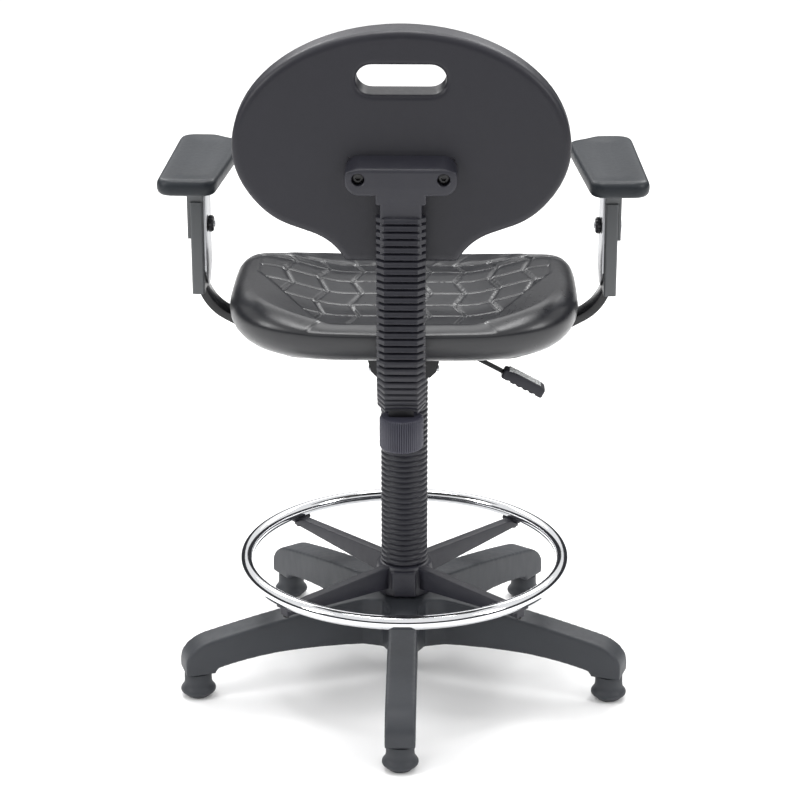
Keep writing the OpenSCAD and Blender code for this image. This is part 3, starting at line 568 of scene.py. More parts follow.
def arm_place(side):
    left = (Matrix.Translation((centre("arm_cover_left").x, AXIS_Y, 0))
            @ Matrix.Rotation(-ARM_TOE, 4, "Z"))
    return left if side > 0 else Matrix.Diagonal((-1, 1, 1, 1)) @ left


def about_column(angle=0.0):
    return Matrix.Translation((0, AXIS_Y, 0)) @ Matrix.Rotation(angle, 4, "Z")


def arc(x, y, radius, start, end, steps):
    """Points on an arc, with angles in degrees."""
    turns = [math.radians(start + (end - start) * i / steps) for i in range(steps + 1)]
    return [(x + radius * math.cos(t), y + radius * math.sin(t)) for t in turns]


def plate(name, outline, thickness, across="Z"):
    """A flat plate: a ring of points filled and extruded. An outline across Y stands up in XZ."""
    clear_selection()
    bpy.ops.mesh.primitive_circle_add(vertices=len(outline), fill_type="NGON")
    obj = settle(added(name))
    for vert, (x, y) in zip(obj.data.vertices, outline):
        vert.co = (x, y, 0) if across == "Z" else (x, 0, y)
    bpy.ops.object.mode_set(mode="EDIT")
    bpy.ops.mesh.select_all(action="SELECT")
    way = (0, 0, thickness) if across == "Z" else (0, -thickness, 0)
    bpy.ops.mesh.extrude_region_move(TRANSFORM_OT_translate={"value": way})
    bpy.ops.mesh.select_all(action="SELECT")
    bpy.ops.mesh.normals_make_consistent(inside=False)
    leave()
    return obj


def slot_outline(width, height, x=0.0, y=0.0):
    half = height / 2
    return (arc(x + width / 2 - half, y, half, -90, 90, 12)
            + arc(x + half - width / 2, y, half, 90, 270, 12))


# ---- Base ----

class CHAIR_OT_base(bpy.types.Operator):
    """Five-legged nylon base with arched, rounded legs that turn down to their feet"""
    bl_idname = "chair.base"
    bl_label = "Base"

    def execute(self, context):
        width = sizes().leg_width
        root, hub_r = 0.030, 0.036
        nose_round, foot_round = 0.007, 0.0030
        end = high("star_base").y - AXIS_Y
        inner = centre("glide_1").y - AXIS_Y - 0.024
        foot_floor = low("star_base").z
        end_top, bend, drop = 0.077, 0.036, 0.024
        arch, hub_floor, foot_arch = 0.055, 0.047, 0.042
        peak, hub_edge = 0.163, 0.034
        stations, foot_station = 56, 41

        def top(r):
            along = max(0.0, (r - hub_r / 2) / (end - hub_r / 2))
            line = HUB_TOP - (HUB_TOP - end_top) * along ** 1.5
            past = max(0.0, r - (end - bend))
            return line - drop + drop * math.sqrt(max(0.0, 1 - (past / bend) ** 2))

        def floor(r):
            if r > inner + 0.001:
                return foot_floor
            if r > peak:
                return arch - (arch - foot_arch) * ((r - peak) / (inner - peak)) ** 2
            return arch - (arch - hub_floor) * min(1.0, (peak - r) / (peak - hub_edge)) ** 2

        def shape(co):
            k = round(co.x * stations)
            if k < foot_station:
                r = root + (inner - root) * k / (foot_station - 1)
            else:
                share = (k - foot_station) / (stations - foot_station)
                r = inner + 0.003 + (end - inner - 0.003) * math.sin(share * math.pi / 2)
            spread = 1 + 0.5 * (1 - ease((r - hub_r) / hub_edge))
            return Vector((r, co.y * spread, floor(r) + (top(r) - floor(r)) * co.z))

        leg = block("leg", (0, -width / 2, 0), (1, width / 2, 1))
        divide(leg, 0, stations - 1)
        mould(leg, shape)
        choose(leg, "EDGE", lambda middle, edge: (
            all(abs(v.co.z - top(v.co.x)) < 1e-5 for v in edge.verts)
            and abs(edge.verts[0].co.y * edge.verts[1].co.y) > 1e-5
            and edge.verts[0].co.y * edge.verts[1].co.y > 0))
        bpy.ops.mesh.bevel(offset=sizes().leg_round, segments=5, affect="EDGES", clamp_overlap=True)
        leave()
        choose(leg, "EDGE", lambda middle, edge: (
            abs(middle.y) > width * 0.45 and middle.x < inner - 0.002
            and all(abs(v.co.z - floor(v.co.x)) < 1e-5 for v in edge.verts)
            and abs(edge.verts[0].co.x - edge.verts[1].co.x) > 1e-4))
        bpy.ops.mesh.bevel(offset=foot_round, segments=2, affect="EDGES", clamp_overlap=True)
        leave()
        choose(leg, "EDGE", lambda middle, edge: (
            middle.x > end - 0.002 and abs(middle.y) > width * 0.3
            and abs(edge.verts[0].co.z - edge.verts[1].co.z) > 0.004))
        bpy.ops.mesh.bevel(offset=nose_round, segments=4, affect="EDGES", clamp_overlap=True)
        leave()

        bore_r, hub_foot = 0.028, 0.0465
        hub = turned("hub", [
            (bore_r, hub_foot), (hub_r - 0.0005, hub_foot), (hub_r, hub_foot + 0.0015),
            (hub_r, 0.119), (hub_r - 0.0015, HUB_TOP), (bore_r, HUB_TOP)], closed=True)
        legs = [place(copy_of(leg, f"leg_{i}"), Matrix.Rotation(math.radians(90 + 72 * i), 4, "Z"))
                for i in range(5)]
        bpy.data.objects.remove(leg)
        base = merged([hub] + legs, "base")
        face_outwards(base)
        reskinned(base, 0.0020, 12)
        place(base, about_column())
        finished(base, "base", "nylon", ["star_base"], "base_nylon", 60)
        return {"FINISHED"}


class CHAIR_OT_glides(bpy.types.Operator):
    """Five nylon glides: a collar that flares out over a narrower foot"""
    bl_idname = "chair.glides"
    bl_label = "Glides"

    def execute(self, context):
        profile = [(0.0150, 0.0), (0.0164, 0.0004), (0.0174, 0.0014), (0.0192, 0.0032),
                   (0.0224, 0.0060), (0.0236, 0.0076), (0.0240, 0.0092), (0.0238, 0.0108),
                   (0.0227, 0.0128), (0.0208, 0.0152), (0.0196, 0.0176), (0.0190, 0.0200),
                   (0.0187, 0.0230), (0.0185, 0.0338), (0.0181, 0.0346), (0.0170, 0.0350),
                   (0.0056, 0.0350)]
        first = turned("glide", profile)
        for i in range(1, 6):
            node = f"glide_{i}"
            spot = centre(node)
            glide = place(copy_of(first, f"glide_foot_{i}"), Matrix.Translation((spot.x, spot.y, 0)))
            finished(glide, "base", "glide", [node], "glide_nylon", 40)
        bpy.data.objects.remove(first)
        return {"FINISHED"}


# ---- Column ----

def inner_wall(obj, bottom, top, inset_x, inset_y, middle):
    """Closes an open sleeve with a wall inside it."""
    choose(obj, "EDGE", lambda spot, edge: edge.is_boundary and spot.z > top - 1e-5)
    bpy.ops.mesh.extrude_edges_move(TRANSFORM_OT_translate={"value": (0, 0, 0)})
    bpy.ops.transform.resize(value=(inset_x, inset_y, 1), center_override=(*middle, top))
    bpy.ops.mesh.extrude_edges_move(TRANSFORM_OT_translate={"value": (0, 0, bottom - top)})
    leave()
    choose(obj, "EDGE", lambda spot, edge: edge.is_boundary)
    bpy.ops.mesh.bridge_edge_loops()
    leave()


class CHAIR_OT_column_bellows(bpy.types.Operator):
    """Round bellows over the column, which stretch as the seat rises"""
    bl_idname = "chair.column_bellows"
    bl_label = "Column bellows"

    def execute(self, context):
        bottom, top = low("column_bellows").z, high("column_bellows").z
        radius = high("column_bellows").x
        depth = sizes().ridge_depth
        count = round((top - bottom) / sizes().ridge_pitch)
        pitch = (top - bottom) / count
        groove = radius - depth
        ridge = [(groove, 0), (groove + 0.25 * depth, 0.09), (radius - 0.18 * depth, 0.22),
                 (radius, 0.36), (radius, 0.64), (radius - 0.18 * depth, 0.78),
                 (groove + 0.25 * depth, 0.91), (groove, 1)]
        clear_selection()
        bpy.ops.mesh.primitive_circle_add(vertices=72, radius=groove, location=(0, AXIS_Y, bottom))
        obj = settle(added("bellows_round"))
        bpy.ops.object.mode_set(mode="EDIT")
        bpy.ops.mesh.select_mode(type="EDGE")
        bpy.ops.mesh.select_all(action="SELECT")
        for (r0, h0), (r1, h1) in zip(ridge, ridge[1:]):
            bpy.ops.mesh.extrude_edges_move(
                TRANSFORM_OT_translate={"value": (0, 0, (h1 - h0) * pitch)})
            bpy.ops.transform.resize(value=(r1 / r0, r1 / r0, 1),
                                     center_override=(0, AXIS_Y, bottom + h1 * pitch))
        leave()
        modified(obj, "ARRAY", count=count, use_relative_offset=False, use_constant_offset=True,
                 constant_offset_displace=(0, 0, pitch), use_merge_vertices=True,
                 merge_threshold=1e-5)
        share = (groove - 0.0014) / groove
        inner_wall(obj, bottom, top, share, share, (0, AXIS_Y))
        finished(obj, None, "rubber", ["column_bellows"], "bellows_rubber", 45)
        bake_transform(obj)
        return {"FINISHED"}


class CHAIR_OT_foot_ring(bpy.types.Operator):
    """Chromed foot ring, bent from tube, with its butt weld at the front"""
    bl_idname = "chair.foot_ring"
    bl_label = "Foot ring"

    def execute(self, context):
        tube = (high("footring_tube").z - low("footring_tube").z) / 2
        radius = high("footring_tube").x - tube
        height = centre("footring_tube").z
        clear_selection()
        bpy.ops.mesh.primitive_circle_add(vertices=32, radius=tube, rotation=(0, math.pi / 2, 0),
                                          location=(0, AXIS_Y - radius, height))
        obj = settle(added("foot_ring"))
        bpy.ops.object.mode_set(mode="EDIT")
        bpy.ops.mesh.select_all(action="SELECT")
        bpy.ops.mesh.spin(steps=216, angle=2 * math.pi, center=(0, AXIS_Y, height), axis=(0, 0, 1))
        bpy.ops.mesh.select_all(action="SELECT")
        bpy.ops.mesh.remove_doubles(threshold=1e-6)
        leave()
        choose(obj, "VERT", lambda co: co.y < AXIS_Y and abs(co.x) < 0.001)
        bpy.ops.transform.shrink_fatten(value=0.0005)
        leave()
        finished(obj, "base", "chrome", ["footring_tube"], "chrome_ring", 60)
        return {"FINISHED"}


class CHAIR_OT_spider(bpy.types.Operator):
    """Plastic spider that carries the foot ring: a hub, a clamp boss and four deep spokes"""
    bl_idname = "chair.spider"
    bl_label = "Foot ring spider"

    def execute(self, context):
        top = low("column_bellows").z
        ring_r = high("footring_tube").x - (high("footring_tube").z - low("footring_tube").z) / 2
        reach = ring_r + 0.004
        hub_r = high("column_bellows").x + 0.0065
        bore_r, root, root_floor, half = 0.0254, 0.026, 0.131, 0.007
        seat = centre("footring_tube").z - 0.0075
        hub = turned("spider_hub", [
            (bore_r, HUB_TOP + 0.0002), (hub_r - 0.001, HUB_TOP + 0.0002), (hub_r, HUB_TOP + 0.0012),
            (hub_r, top - 0.012), (hub_r - 0.0008, top - 0.006), (hub_r - 0.0035, top - 0.001),
            (hub_r - 0.006, top), (bore_r, top)], closed=True)
        boss = block("boss", (-0.017, 0, HUB_TOP + 0.002), (0.017, hub_r + 0.004, top - 0.004), 0.003)
        recess = block("recess", (0.0125, hub_r - 0.006, HUB_TOP + 0.001),
                       (0.0215, 0.06, HUB_TOP + 0.012), 0.001)
        cut(boss, recess)
        radii = (root, 0.10, 0.16, ring_r - 0.008, reach)

        def shape(co):
            r = radii[round(co.x * 4)]
            share = min(1.0, (r - root) / (ring_r - root - 0.008))
            floor = root_floor + (seat - 0.013 - root_floor) * share
            roof = top - 0.001 + (seat - top + 0.001) * share
            return Vector((r, co.y, floor + (roof - floor) * co.z))

        pieces = []
        for i in range(4):
            spoke = block(f"spoke_{i}", (0, -half, 0), (1, half, 1))
            divide(spoke, 0, 3)
            mould(spoke, shape)
            rounded(spoke, 0.0014, 3, 40)
            saddle = block(f"saddle_{i}", (ring_r - 0.008, -0.015, seat - 0.0045),
                           (reach, 0.015, seat + 0.0002), 0.0012)
            turn = Matrix.Rotation(math.radians(45 + 90 * i), 4, "Z")
            pieces += [place(spoke, turn), place(saddle, turn)]
        combined(hub, [boss] + pieces)
        place(hub, about_column())
        hub.name = "ring_spider"
        finished(hub, "base", "plastic", ["footring_spider"], "spider_plastic", 40)
        return {"FINISHED"}


# ---- Spine ----

def folded_sleeve(name, bottom, count, pitch, width, depth, middle):
    """Flat-sided bellows: one fold drawn up from a chamfered ring, repeated."""
    groove = sizes().fold_depth
    chamfer = 0.0085
    steps = [(groove, 0.0), (groove * 0.9, 0.08), (0.0010, 0.15), (0.0, 0.24), (0.0, 0.78),
             (0.0006, 0.86), (groove * 0.9, 0.94), (groove, 1.0)]
    clear_selection()
    bpy.ops.mesh.primitive_plane_add(size=1, location=(*middle, bottom))
    obj = settle(added(name))
    bpy.ops.object.mode_set(mode="EDIT")
    bpy.ops.mesh.select_all(action="SELECT")
    inset = steps[0][0]
    span = [width - 2 * inset, depth - 2 * inset]
    bpy.ops.transform.resize(value=(*span, 1), center_override=(*middle, bottom))
    bpy.ops.mesh.bevel(offset=chamfer, segments=1, affect="VERTICES")
    bpy.ops.mesh.select_all(action="SELECT")
    bpy.ops.mesh.delete(type="ONLY_FACE")
    bpy.ops.mesh.select_mode(type="EDGE")
    bpy.ops.mesh.select_all(action="SELECT")
    for (_, h0), (inset, h1) in zip(steps, steps[1:]):
        bpy.ops.mesh.extrude_edges_move(TRANSFORM_OT_translate={"value": (0, 0, (h1 - h0) * pitch)})
        wider = [width - 2 * inset, depth - 2 * inset]
        bpy.ops.transform.resize(value=(wider[0] / span[0], wider[1] / span[1], 1),
                                 center_override=(*middle, bottom + h1 * pitch))
        span = wider
    leave()
    modified(obj, "ARRAY", count=count, use_relative_offset=False, use_constant_offset=True,
             constant_offset_displace=(0, 0, pitch), use_merge_vertices=True, merge_threshold=1e-5)
    wall = 0.0013
    inner_wall(obj, bottom, bottom + count * pitch, 1 - 2 * wall / span[0], 1 - 2 * wall / span[1],
               middle)
    return obj


class CHAIR_OT_spine_bellows(bpy.types.Operator):
    """Flat-sided bellows over the spine: an upright length that stretches, and a bent one"""
    bl_idname = "chair.spine_bellows"
    bl_label = "Spine bellows"

    def execute(self, context):
        bottom, top = low("spine_bellows").z, high("spine_bellows").z
        width = high("spine_bellows").x * 2
        depth = high("spine_bellows").y - low("spine_bellows").y
        count = round((top - bottom) / sizes().fold_pitch)
        upright = folded_sleeve("bellows_spine", bottom, count, (top - bottom) / count,
                                width, depth, (0, SPINE_Y))
        finished(upright, None, "rubber", ["spine_bellows"], "bellows_rubber", 40)
        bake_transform(upright)

        radius = 0.100
        run = radius * math.radians(45)
        folds = round(run / sizes().fold_pitch)
        bent = folded_sleeve("bellows_elbow", BEND_Z - 0.0003 - run, folds, run / folds,
                             width, depth, (0, SPINE_Y))
        divide(bent, 2, 1)

        def curl(co):
            turn = (BEND_Z - co.z) / radius
            reach = radius + co.y - SPINE_Y
            return Vector((co.x, SPINE_Y - radius + reach * math.cos(turn),
                           BEND_Z - reach * math.sin(turn)))
        mould(bent, curl)
        finished(bent, "spine", "rubber", ["elbow_bellows"], "bellows_rubber", 40)
        return {"FINISHED"}


class CHAIR_OT_wheel(bpy.types.Operator):
    """Ribbed clamp wheel under the spine's bend"""
    bl_idname = "chair.wheel"
    bl_label = "Clamp wheel"

    def execute(self, context):
        middle = centre("lock_wheel")
        floor, roof = low("lock_wheel").z, high("lock_wheel").z
        radius = high("lock_wheel").x
        ribs = 60
        wheel = turned("clamp_wheel", [
            (0.012, floor + 0.003), (0.016, floor + 0.001), (radius - 0.0045, floor),
            (radius - 0.0018, floor + 0.0012), (radius, floor + 0.004), (radius, roof - 0.004),
            (radius - 0.0018, roof - 0.0012), (radius - 0.0045, roof), (0.0075, roof)],
            at=(middle.x, middle.y), steps=3 * ribs)

        def in_groove(co):
            x, y = co.x - middle.x, co.y - middle.y
            step = round(math.atan2(y, x) / math.pi * 1.5 * ribs)
            return math.hypot(x, y) > radius - 0.0001 and step % 3 == 1
        choose(wheel, "VERT", in_groove)
        bpy.ops.transform.resize(value=(0.93, 0.93, 1), center_override=middle)
        leave()
        finished(wheel, "wheel", "wheel", ["lock_wheel"], "wheel_plastic", 50)
        return {"FINISHED"}


class CHAIR_OT_bracket(bpy.types.Operator):
    """T bracket behind the backrest: rounded wings, a square stem and sunk screws"""
    bl_idname = "chair.bracket"
    bl_label = "Back bracket"

    def execute(self, context):
        half = high("back_bracket").x
        foot, roof, thick, corner = 0.098, 0.140, 0.030, 0.0185
        stem, stem_foot, small = 0.031, 0.0855, 0.004
        screw_x, screw_z, screw_depth = 0.052, 0.119, 0.0138
        sleeve_half, sleeve_deep = 0.0255, 0.0118
        outline = (arc(half - corner, roof - corner, corner, 0, 90, 8)
                   + arc(corner - half, roof - corner, corner, 90, 180, 8)
                   + arc(corner - half, foot + corner, corner, 180, 270, 8) + [(-stem, foot)]
                   + arc(small - stem, stem_foot + small, small, 180, 270, 4)
                   + arc(stem - small, stem_foot + small, small, 270, 360, 4) + [(stem, foot)]
                   + arc(half - corner, foot + corner, corner, 270, 360, 8))
        wings = plate("wings", outline, thick, across="Y")
        place(wings, Matrix.Translation((0, thick, 0)))
        choose(wings, "EDGE", lambda middle, edge: all(v.co.y > thick - 1e-5 for v in edge.verts))
        bpy.ops.mesh.bevel(offset=0.0056, segments=5, affect="EDGES", clamp_overlap=True)
        leave()
        for x in (-screw_x, screw_x):
            hole = turned("hole", [(0.0079, -0.002), (0.0079, 0.0153), (0.0092, 0.0166)], steps=40)
            tool = place(hole, Matrix.Translation((x, screw_depth, screw_z))
                         @ Matrix.Rotation(-math.pi / 2, 4, "X"))
            face_outwards(tool)
            cut(wings, tool)

        def rolled(co):
            """Lets the wings' top fall towards the rear."""
            fall = 0.007 * ease(co.y / thick) * ease((co.z - roof + 0.014) / 0.014)
            return co - Vector((0, 0, fall))
        mould(wings, rolled)
        place(wings, BACK_PLACE)
        sleeve = block("sleeve", (-sleeve_half, SPINE_Y - sleeve_deep, low("back_bracket").z),
                       (sleeve_half, SPINE_Y + sleeve_deep, high("back_bracket").z - 0.04), 0.003)
        combined(wings, [sleeve])
        wings.name = "t_bracket"
        finished(wings, "back", "plastic", ["back_bracket"], "spider_plastic", 40)
        return {"FINISHED"}


# ---- Seat ----

def tread(x, y, rows_from):
    """How deep the seat's tread is cut at a point: rows of tiles with slanting joints."""
    row_length, tile = sizes().tile_length, sizes().tile_width
    slant, first_joint = 0.013, 0.018
    along = (rows_from - y) / row_length
    row = math.floor(along)
    share = along - row
    swing = share if row % 2 == 0 else 1 - share
    shifted = (x - first_joint + slant * (swing - 0.5)) / tile
    from_joint = abs(shifted - round(shifted)) * tile
    from_row = min(share, 1 - share) * row_length
    joint = 1 - ease((from_joint - 0.0018) / 0.0012)
    line = 1 - ease((from_row - 0.0009) / 0.0014)
    return max(joint, line)


class CHAIR_OT_seat(bpy.types.Operator):
    """Moulded foam seat: a trough with a tread of tiles inside a smooth raised roll"""
    bl_idname = "chair.seat"
    bl_label = "Seat"

    def execute(self, context):
        lowest, highest = low("seat_foam"), high("seat_foam")
        half = highest.x
        front, rear = AXIS_Y - lowest.y, highest.y - AXIS_Y
        floor, top = lowest.z, highest.z
        dish, front_drop, rolls = 0.024, 0.019, 14
        field_side, field_rear, field_front, field_step = 0.197, 0.149, 0.168, 0.0020
        corner_reach, corner_x, corner_y = 0.1636, 0.877, 0.481

        def rim(turn):
            """The seat's widest outline, as a point for a direction."""
            c, s = math.cos(turn), math.sin(turn)
            reach, power = (rear, 3.2) if s > 0 else (front, 4.2)
            size = (abs(c / half) ** power + abs(s / reach) ** power) ** (-1 / power)
            return Vector((c * size, s * size))

        def crest(turn):
            """Distance from the rim in to the roll's highest line, and under to the flat floor."""
            s = math.sin(turn)
            if s > 0:
                return 0.030 + 0.004 * s, 0.060 - 0.002 * s ** 3
            return 0.030 + 0.040 * s * s, 0.060 - 0.010 * s * s

        def hollow(x, y):
            across = 1 - ease((abs(x) - 0.075) / 0.125)
            along = 1 - 0.30 * ease((y - 0.06) / 0.11) - 0.35 * ease((-y - 0.10) / 0.10)
            return dish * across * along + front_drop * ease((-y - 0.08) / 0.12)

        def field(x, y):
            """How far a point lies inside the tread's edge."""
            corner = corner_reach - abs(x) * corner_x - y * corner_y
            return min(field_side - abs(x), field_rear - y, y + field_front, corner)

        def surface(x, y):
            z = top - hollow(x, y)
            inside = field(x, y)
            if inside > 0:
                z -= field_step * ease(inside / 0.004)
                groove = sizes().groove_depth * tread(x, y, field_rear)
                z -= groove * ease((inside - 0.002) / 0.004)
            return z

        def shape(co):
            turn = math.atan2(co.y, co.x)
            edge = rim(turn)
            inset, under = crest(turn)
            if co.z > -0.5:
                share = max(abs(co.x), abs(co.y))
                spot = edge * ((edge.length - inset) / edge.length * share)
                return Vector((spot.x, spot.y, surface(spot.x, spot.y)))
            step = round(-co.z) / rolls
            lip = edge * ((edge.length - inset) / edge.length)
            crown = surface(lip.x, lip.y)
            wide = floor + 0.63 * (top - floor) - 0.012 * max(0.0, -math.sin(turn)) ** 2
            if step <= 0.5:
                bend = step * math.pi
                gap, z = inset * (1 - math.sin(bend)), wide + (crown - wide) * math.cos(bend)
            else:
                bend = (step - 0.5) * math.pi
                gap, z = under * (1 - math.cos(bend)), wide - (wide - floor) * math.sin(bend)
            spot = edge * ((edge.length - gap) / edge.length)
            return Vector((spot.x, spot.y, z))

        clear_selection()
        bpy.ops.mesh.primitive_grid_add(x_subdivisions=208, y_subdivisions=184, size=2)
        seat = settle(added("seat_cushion"))
        choose(seat, "EDGE", lambda middle, edge: edge.is_boundary)
        for _ in range(rolls):
            bpy.ops.mesh.extrude_edges_move(TRANSFORM_OT_translate={"value": (0, 0, -1)})
        leave()
        mould(seat, shape)
        choose(seat, "EDGE", lambda middle, edge: edge.is_boundary)
        bpy.ops.mesh.edge_face_add()
        bpy.ops.mesh.inset(thickness=0.04)
        leave()
        modified(seat, "SMOOTH", factor=0.4, iterations=1)
        place(seat, about_column())
        finished(seat, "seat", "seat_skin", ["seat_foam"], "seat_foam_skin", 60)
        return {"FINISHED"}


# ---- Backrest ----

def back_outline():
    """The backrest's outline: an oval over a narrower one that flows into a neck."""
    w, waist, crown = high("back_foam").x, BACK_WAIST, BACK_CROWN
    turn = math.radians(34)
    p = (w * math.cos(turn), waist - 0.95 * waist * math.sin(turn))
    r1 = 0.095
    c1 = (p[0] - r1 * math.sin(math.radians(45)), p[1] + r1 * math.cos(math.radians(45)))
    sin20, cos20 = math.sin(math.radians(20)), math.cos(math.radians(20))
    s = (c1[0] + r1 * sin20 - 0.028 * cos20, c1[1] - r1 * cos20 - 0.028 * sin20)
    r2 = (s[1] - 0.002) / (cos20 - math.cos(math.radians(62)))
    c2 = (s[0] + r2 * sin20, s[1] - r2 * cos20)
    half = arc(*c2, r2, 152, 110, 8) + arc(*c1, r1, -70, -45, 6)
    half += [(w * math.cos(t), waist + 0.95 * waist * math.sin(t))
             for t in (math.radians(a) for a in range(-30, 0, 5))]
    half += [(w * math.cos(t), waist + crown * math.sin(t))
             for t in (math.radians(a) for a in range(0, 90, 4))]
    foot = (half[0][0] - 0.004, 0.0)
    return ([foot] + half + [(0, waist + crown)]
            + [(-x, y) for x, y in reversed(half)] + [(-foot[0], 0.0)])


class CHAIR_OT_backrest(bpy.types.Operator):
    """Moulded foam backrest with a hand slot, a rolled rim and a tread on the sitter's side"""
    bl_idname = "chair.backrest"
    bl_label = "Backrest"

    def execute(self, context):
        thick = 0.042
        back = plate("backrest", back_outline(), thick, across="Y")
        rounded(back, sizes().back_round, 5, 40)
        slot = plate("slot", slot_outline(0.110, 0.037, 0, SLOT_HEIGHT), 3 * thick, across="Y")
        place(slot, Matrix.Translation((0, thick, 0)))
        cut(back, slot)
        choose(back, "EDGE", lambda middle, edge: (
            abs(middle.x) < 0.057 and abs(middle.z - SLOT_HEIGHT) < 0.0195
            and abs(edge.verts[0].co.y - edge.verts[1].co.y) < 1e-5
            and (middle.y > -1e-5 or middle.y < 1e-5 - thick)
            and not all(abs(v.co.y + thick / 2) < thick / 2 - 1e-5 for v in edge.verts)))
        bpy.ops.mesh.bevel(offset=0.0045, segments=4, affect="EDGES", clamp_overlap=True)
        leave()
        reskinned(back, 0.0025, 5)
        half, hollow = high("back_foam").x, 0.006

        def pressed(co):
            """Sinks the sitter's side to a gentle hollow with a tread of tiles in it."""
            if co.y > -thick * 0.8:
                return co
            reach = math.hypot(co.x / (half - 0.028), (co.z - BACK_WAIST) / (BACK_WAIST - 0.024))
            inside = (1 - reach) * 0.12
            slot_gap = max(abs(co.x) - 0.064, abs(co.z - SLOT_HEIGHT) - 0.028)
            inside = min(inside, slot_gap)
            if inside <= 0:
                return co
            sink = 0.0012 * ease(inside / 0.003)
            sink += sizes().groove_depth * tread(co.x, co.z, 0.30) * ease((inside - 0.002) / 0.004)
            return co + Vector((0, sink + hollow * ease(inside / 0.09), 0))
        mould(back, pressed)
        place(back, BACK_PLACE)
        finished(back, "back", "back_skin", ["back_foam"], "back_foam_skin", 60)
        return {"FINISHED"}


# ---- Arms ----

class CHAIR_OT_arm_pads(bpy.types.Operator):
    """Moulded foam arm pads, straight outside and wider inside towards the front"""
    bl_idname = "chair.arm_pads"
    bl_label = "Arm pads"

    def execute(self, context):
        out, rear, flare, r = 0.0385, 0.130, 0.011, 0.020
        front = rear - 0.250
        thick = high("arm_pad_left").z - low("arm_pad_left").z
        floor = low("arm_pad_left").z
        outline = (arc(out - r, rear - r, r, 0, 90, 7) + arc(r - out, rear - r, r, 90, 174, 7)
                   + arc(r - out - flare, front + 2 * r, r, 180, 225, 4)
                   + arc(2 * r - out - flare + 0.006, front + r, r, 225, 270, 4)
                   + arc(out - r, front + r, r, 270, 360, 7))
        for name, side in SIDES:
            pad = plate(f"pad_{name}", outline, thick)
            rounded(pad, sizes().pad_round, 5, 40)
            place(pad, Matrix.Translation((0, 0, floor)))
            reskinned(pad, 0.0024, 6)

            def dished(co):
                """Sinks the top's middle a little below its rim."""
                if co.z < floor + thick * 0.6:
                    return co
                across = 1 - ease((abs(co.x + 0.003) - 0.006) / 0.026)
                along = 1 - ease((abs(co.y - rear + 0.125) - 0.085) / 0.035)
                return co - Vector((0, 0, 0.0022 * across * along))
            mould(pad, dished)
            place(pad, arm_place(side))
            finished(pad, f"arm_{name}", "pad_skin", [f"arm_pad_{name}"], "pad_foam_skin", 60)
        return {"FINISHED"}


class CHAIR_OT_arms(bpy.types.Operator):
    """Arm uprights: covers, sliding heads, bright strips, painted bars, bolts and knobs"""
    bl_idname = "chair.arms"
    bl_label = "Arms"

    def execute(self, context):
        soft, small = 0.0022, sizes().edge
        for name, side in SIDES:
            arm, seat = f"arm_{name}", "seat"
            for node, body, finish, slot, edge in (
                    (f"arm_cover_{name}", seat, "arm_plastic", "arm_plastic", soft),
                    (f"arm_slide_{name}", arm, "arm_plastic", "arm_plastic", soft),
                    (f"arm_strip_{name}", arm, "strip", "strip_steel", small / 2),
                    (f"arm_bar_{name}", seat, "black_paint", "arm_paint", soft),
                    (f"arm_bolt_{name}", arm, "zinc", "zinc_steel", small)):
                piece = from_frame(node, f"{node}_piece", edge, 3)
                finished(piece, body, finish, [node], slot, 32)
            knob_node = f"arm_knob_{name}"
            radius, thick = 0.011, 0.007
            knob = turned("knob", [(0.0042, 0), (radius - 0.001, 0), (radius, 0.001),
                                   (radius, thick - 0.0022), (radius - 0.0008, thick - 0.0008),
                                   (radius - 0.0022, thick), (0.0042, thick)], steps=96, closed=True)

            def lobed(co):
                reach = math.hypot(co.x, co.y)
                if reach < radius - 0.003:
                    return co
                wave = 0.5 + 0.5 * math.cos(12 * math.atan2(co.y, co.x))
                share = 1 - 0.07 * wave
                return Vector((co.x * share, co.y * share, co.z))
            mould(knob, lobed)
            spot = centre(knob_node)
            place(knob, Matrix.Translation(spot) @ Matrix.Rotation(-side * ARM_TOE, 4, "Z")
                  @ Matrix.Rotation(-side * math.pi / 2, 4, "Y")
                  @ Matrix.Translation((0, 0, -thick / 2)))
            finished(knob, f"knob_{name}", "knob", [knob_node], "knob_plastic", 40)
        return {"FINISHED"}


# ---- Mechanism and lever ----

class CHAIR_OT_lever(bpy.types.Operator):
    """Release lever: a bent rod with a wedge-shaped paddle, finger ribs and a grey cap"""
    bl_idname = "chair.lever"
    bl_label = "Lever"

    def execute(self, context):
        start, end, half = 0.105, 0.167, 0.012
        rod = from_frame("lever_rod", "lever_arm", 0.0004, 2)
        finished(rod, "lever", "satin_paint", ["lever_rod"], "lever_paint", 40)

        def wedge(co):
            share = (co.x - start) / (end - start)
            narrow = 1 - 0.22 * (1 - ease(share / 0.35))
            lift = 0.8 + 0.2 * ease(share / 0.2) - 0.25 * ease((share - 0.85) / 0.15)
            return Vector((co.x, co.y * narrow, co.z * (lift if co.z > 0 else 1)))
        paddle = block("lever_grip", (start, -half, -0.007), (end, half, 0.0088))
        divide(paddle, 0, 11)
        mould(paddle, wedge)
        rounded(paddle, 0.0026, 4, 40)
        grooves = []
        for i in range(5):
            x = start + 0.012 + i * 0.0095
            groove = turned("groove", [(0.0028, -0.02), (0.0028, 0.02)], steps=20)
            grooves.append(place(groove, Matrix.Translation((x, 0, -0.0078))
                                 @ Matrix.Rotation(math.pi / 2, 4, "X")))
        cut(paddle, *grooves)
        cap = block("lever_cap_piece", (start + 0.0060, -half + 0.0024, 0.0066),
                    (end - 0.0085, half - 0.0024, 0.0090), 0.0009)
        place(paddle, LEVER_PLACE)
        place(cap, LEVER_PLACE)
        finished(paddle, "lever", "plastic", ["lever_paddle"], "lever_plastic", 40)
        finished(cap, "lever", "cap", ["lever_cap"], "lever_grey", 40)
        return {"FINISHED"}


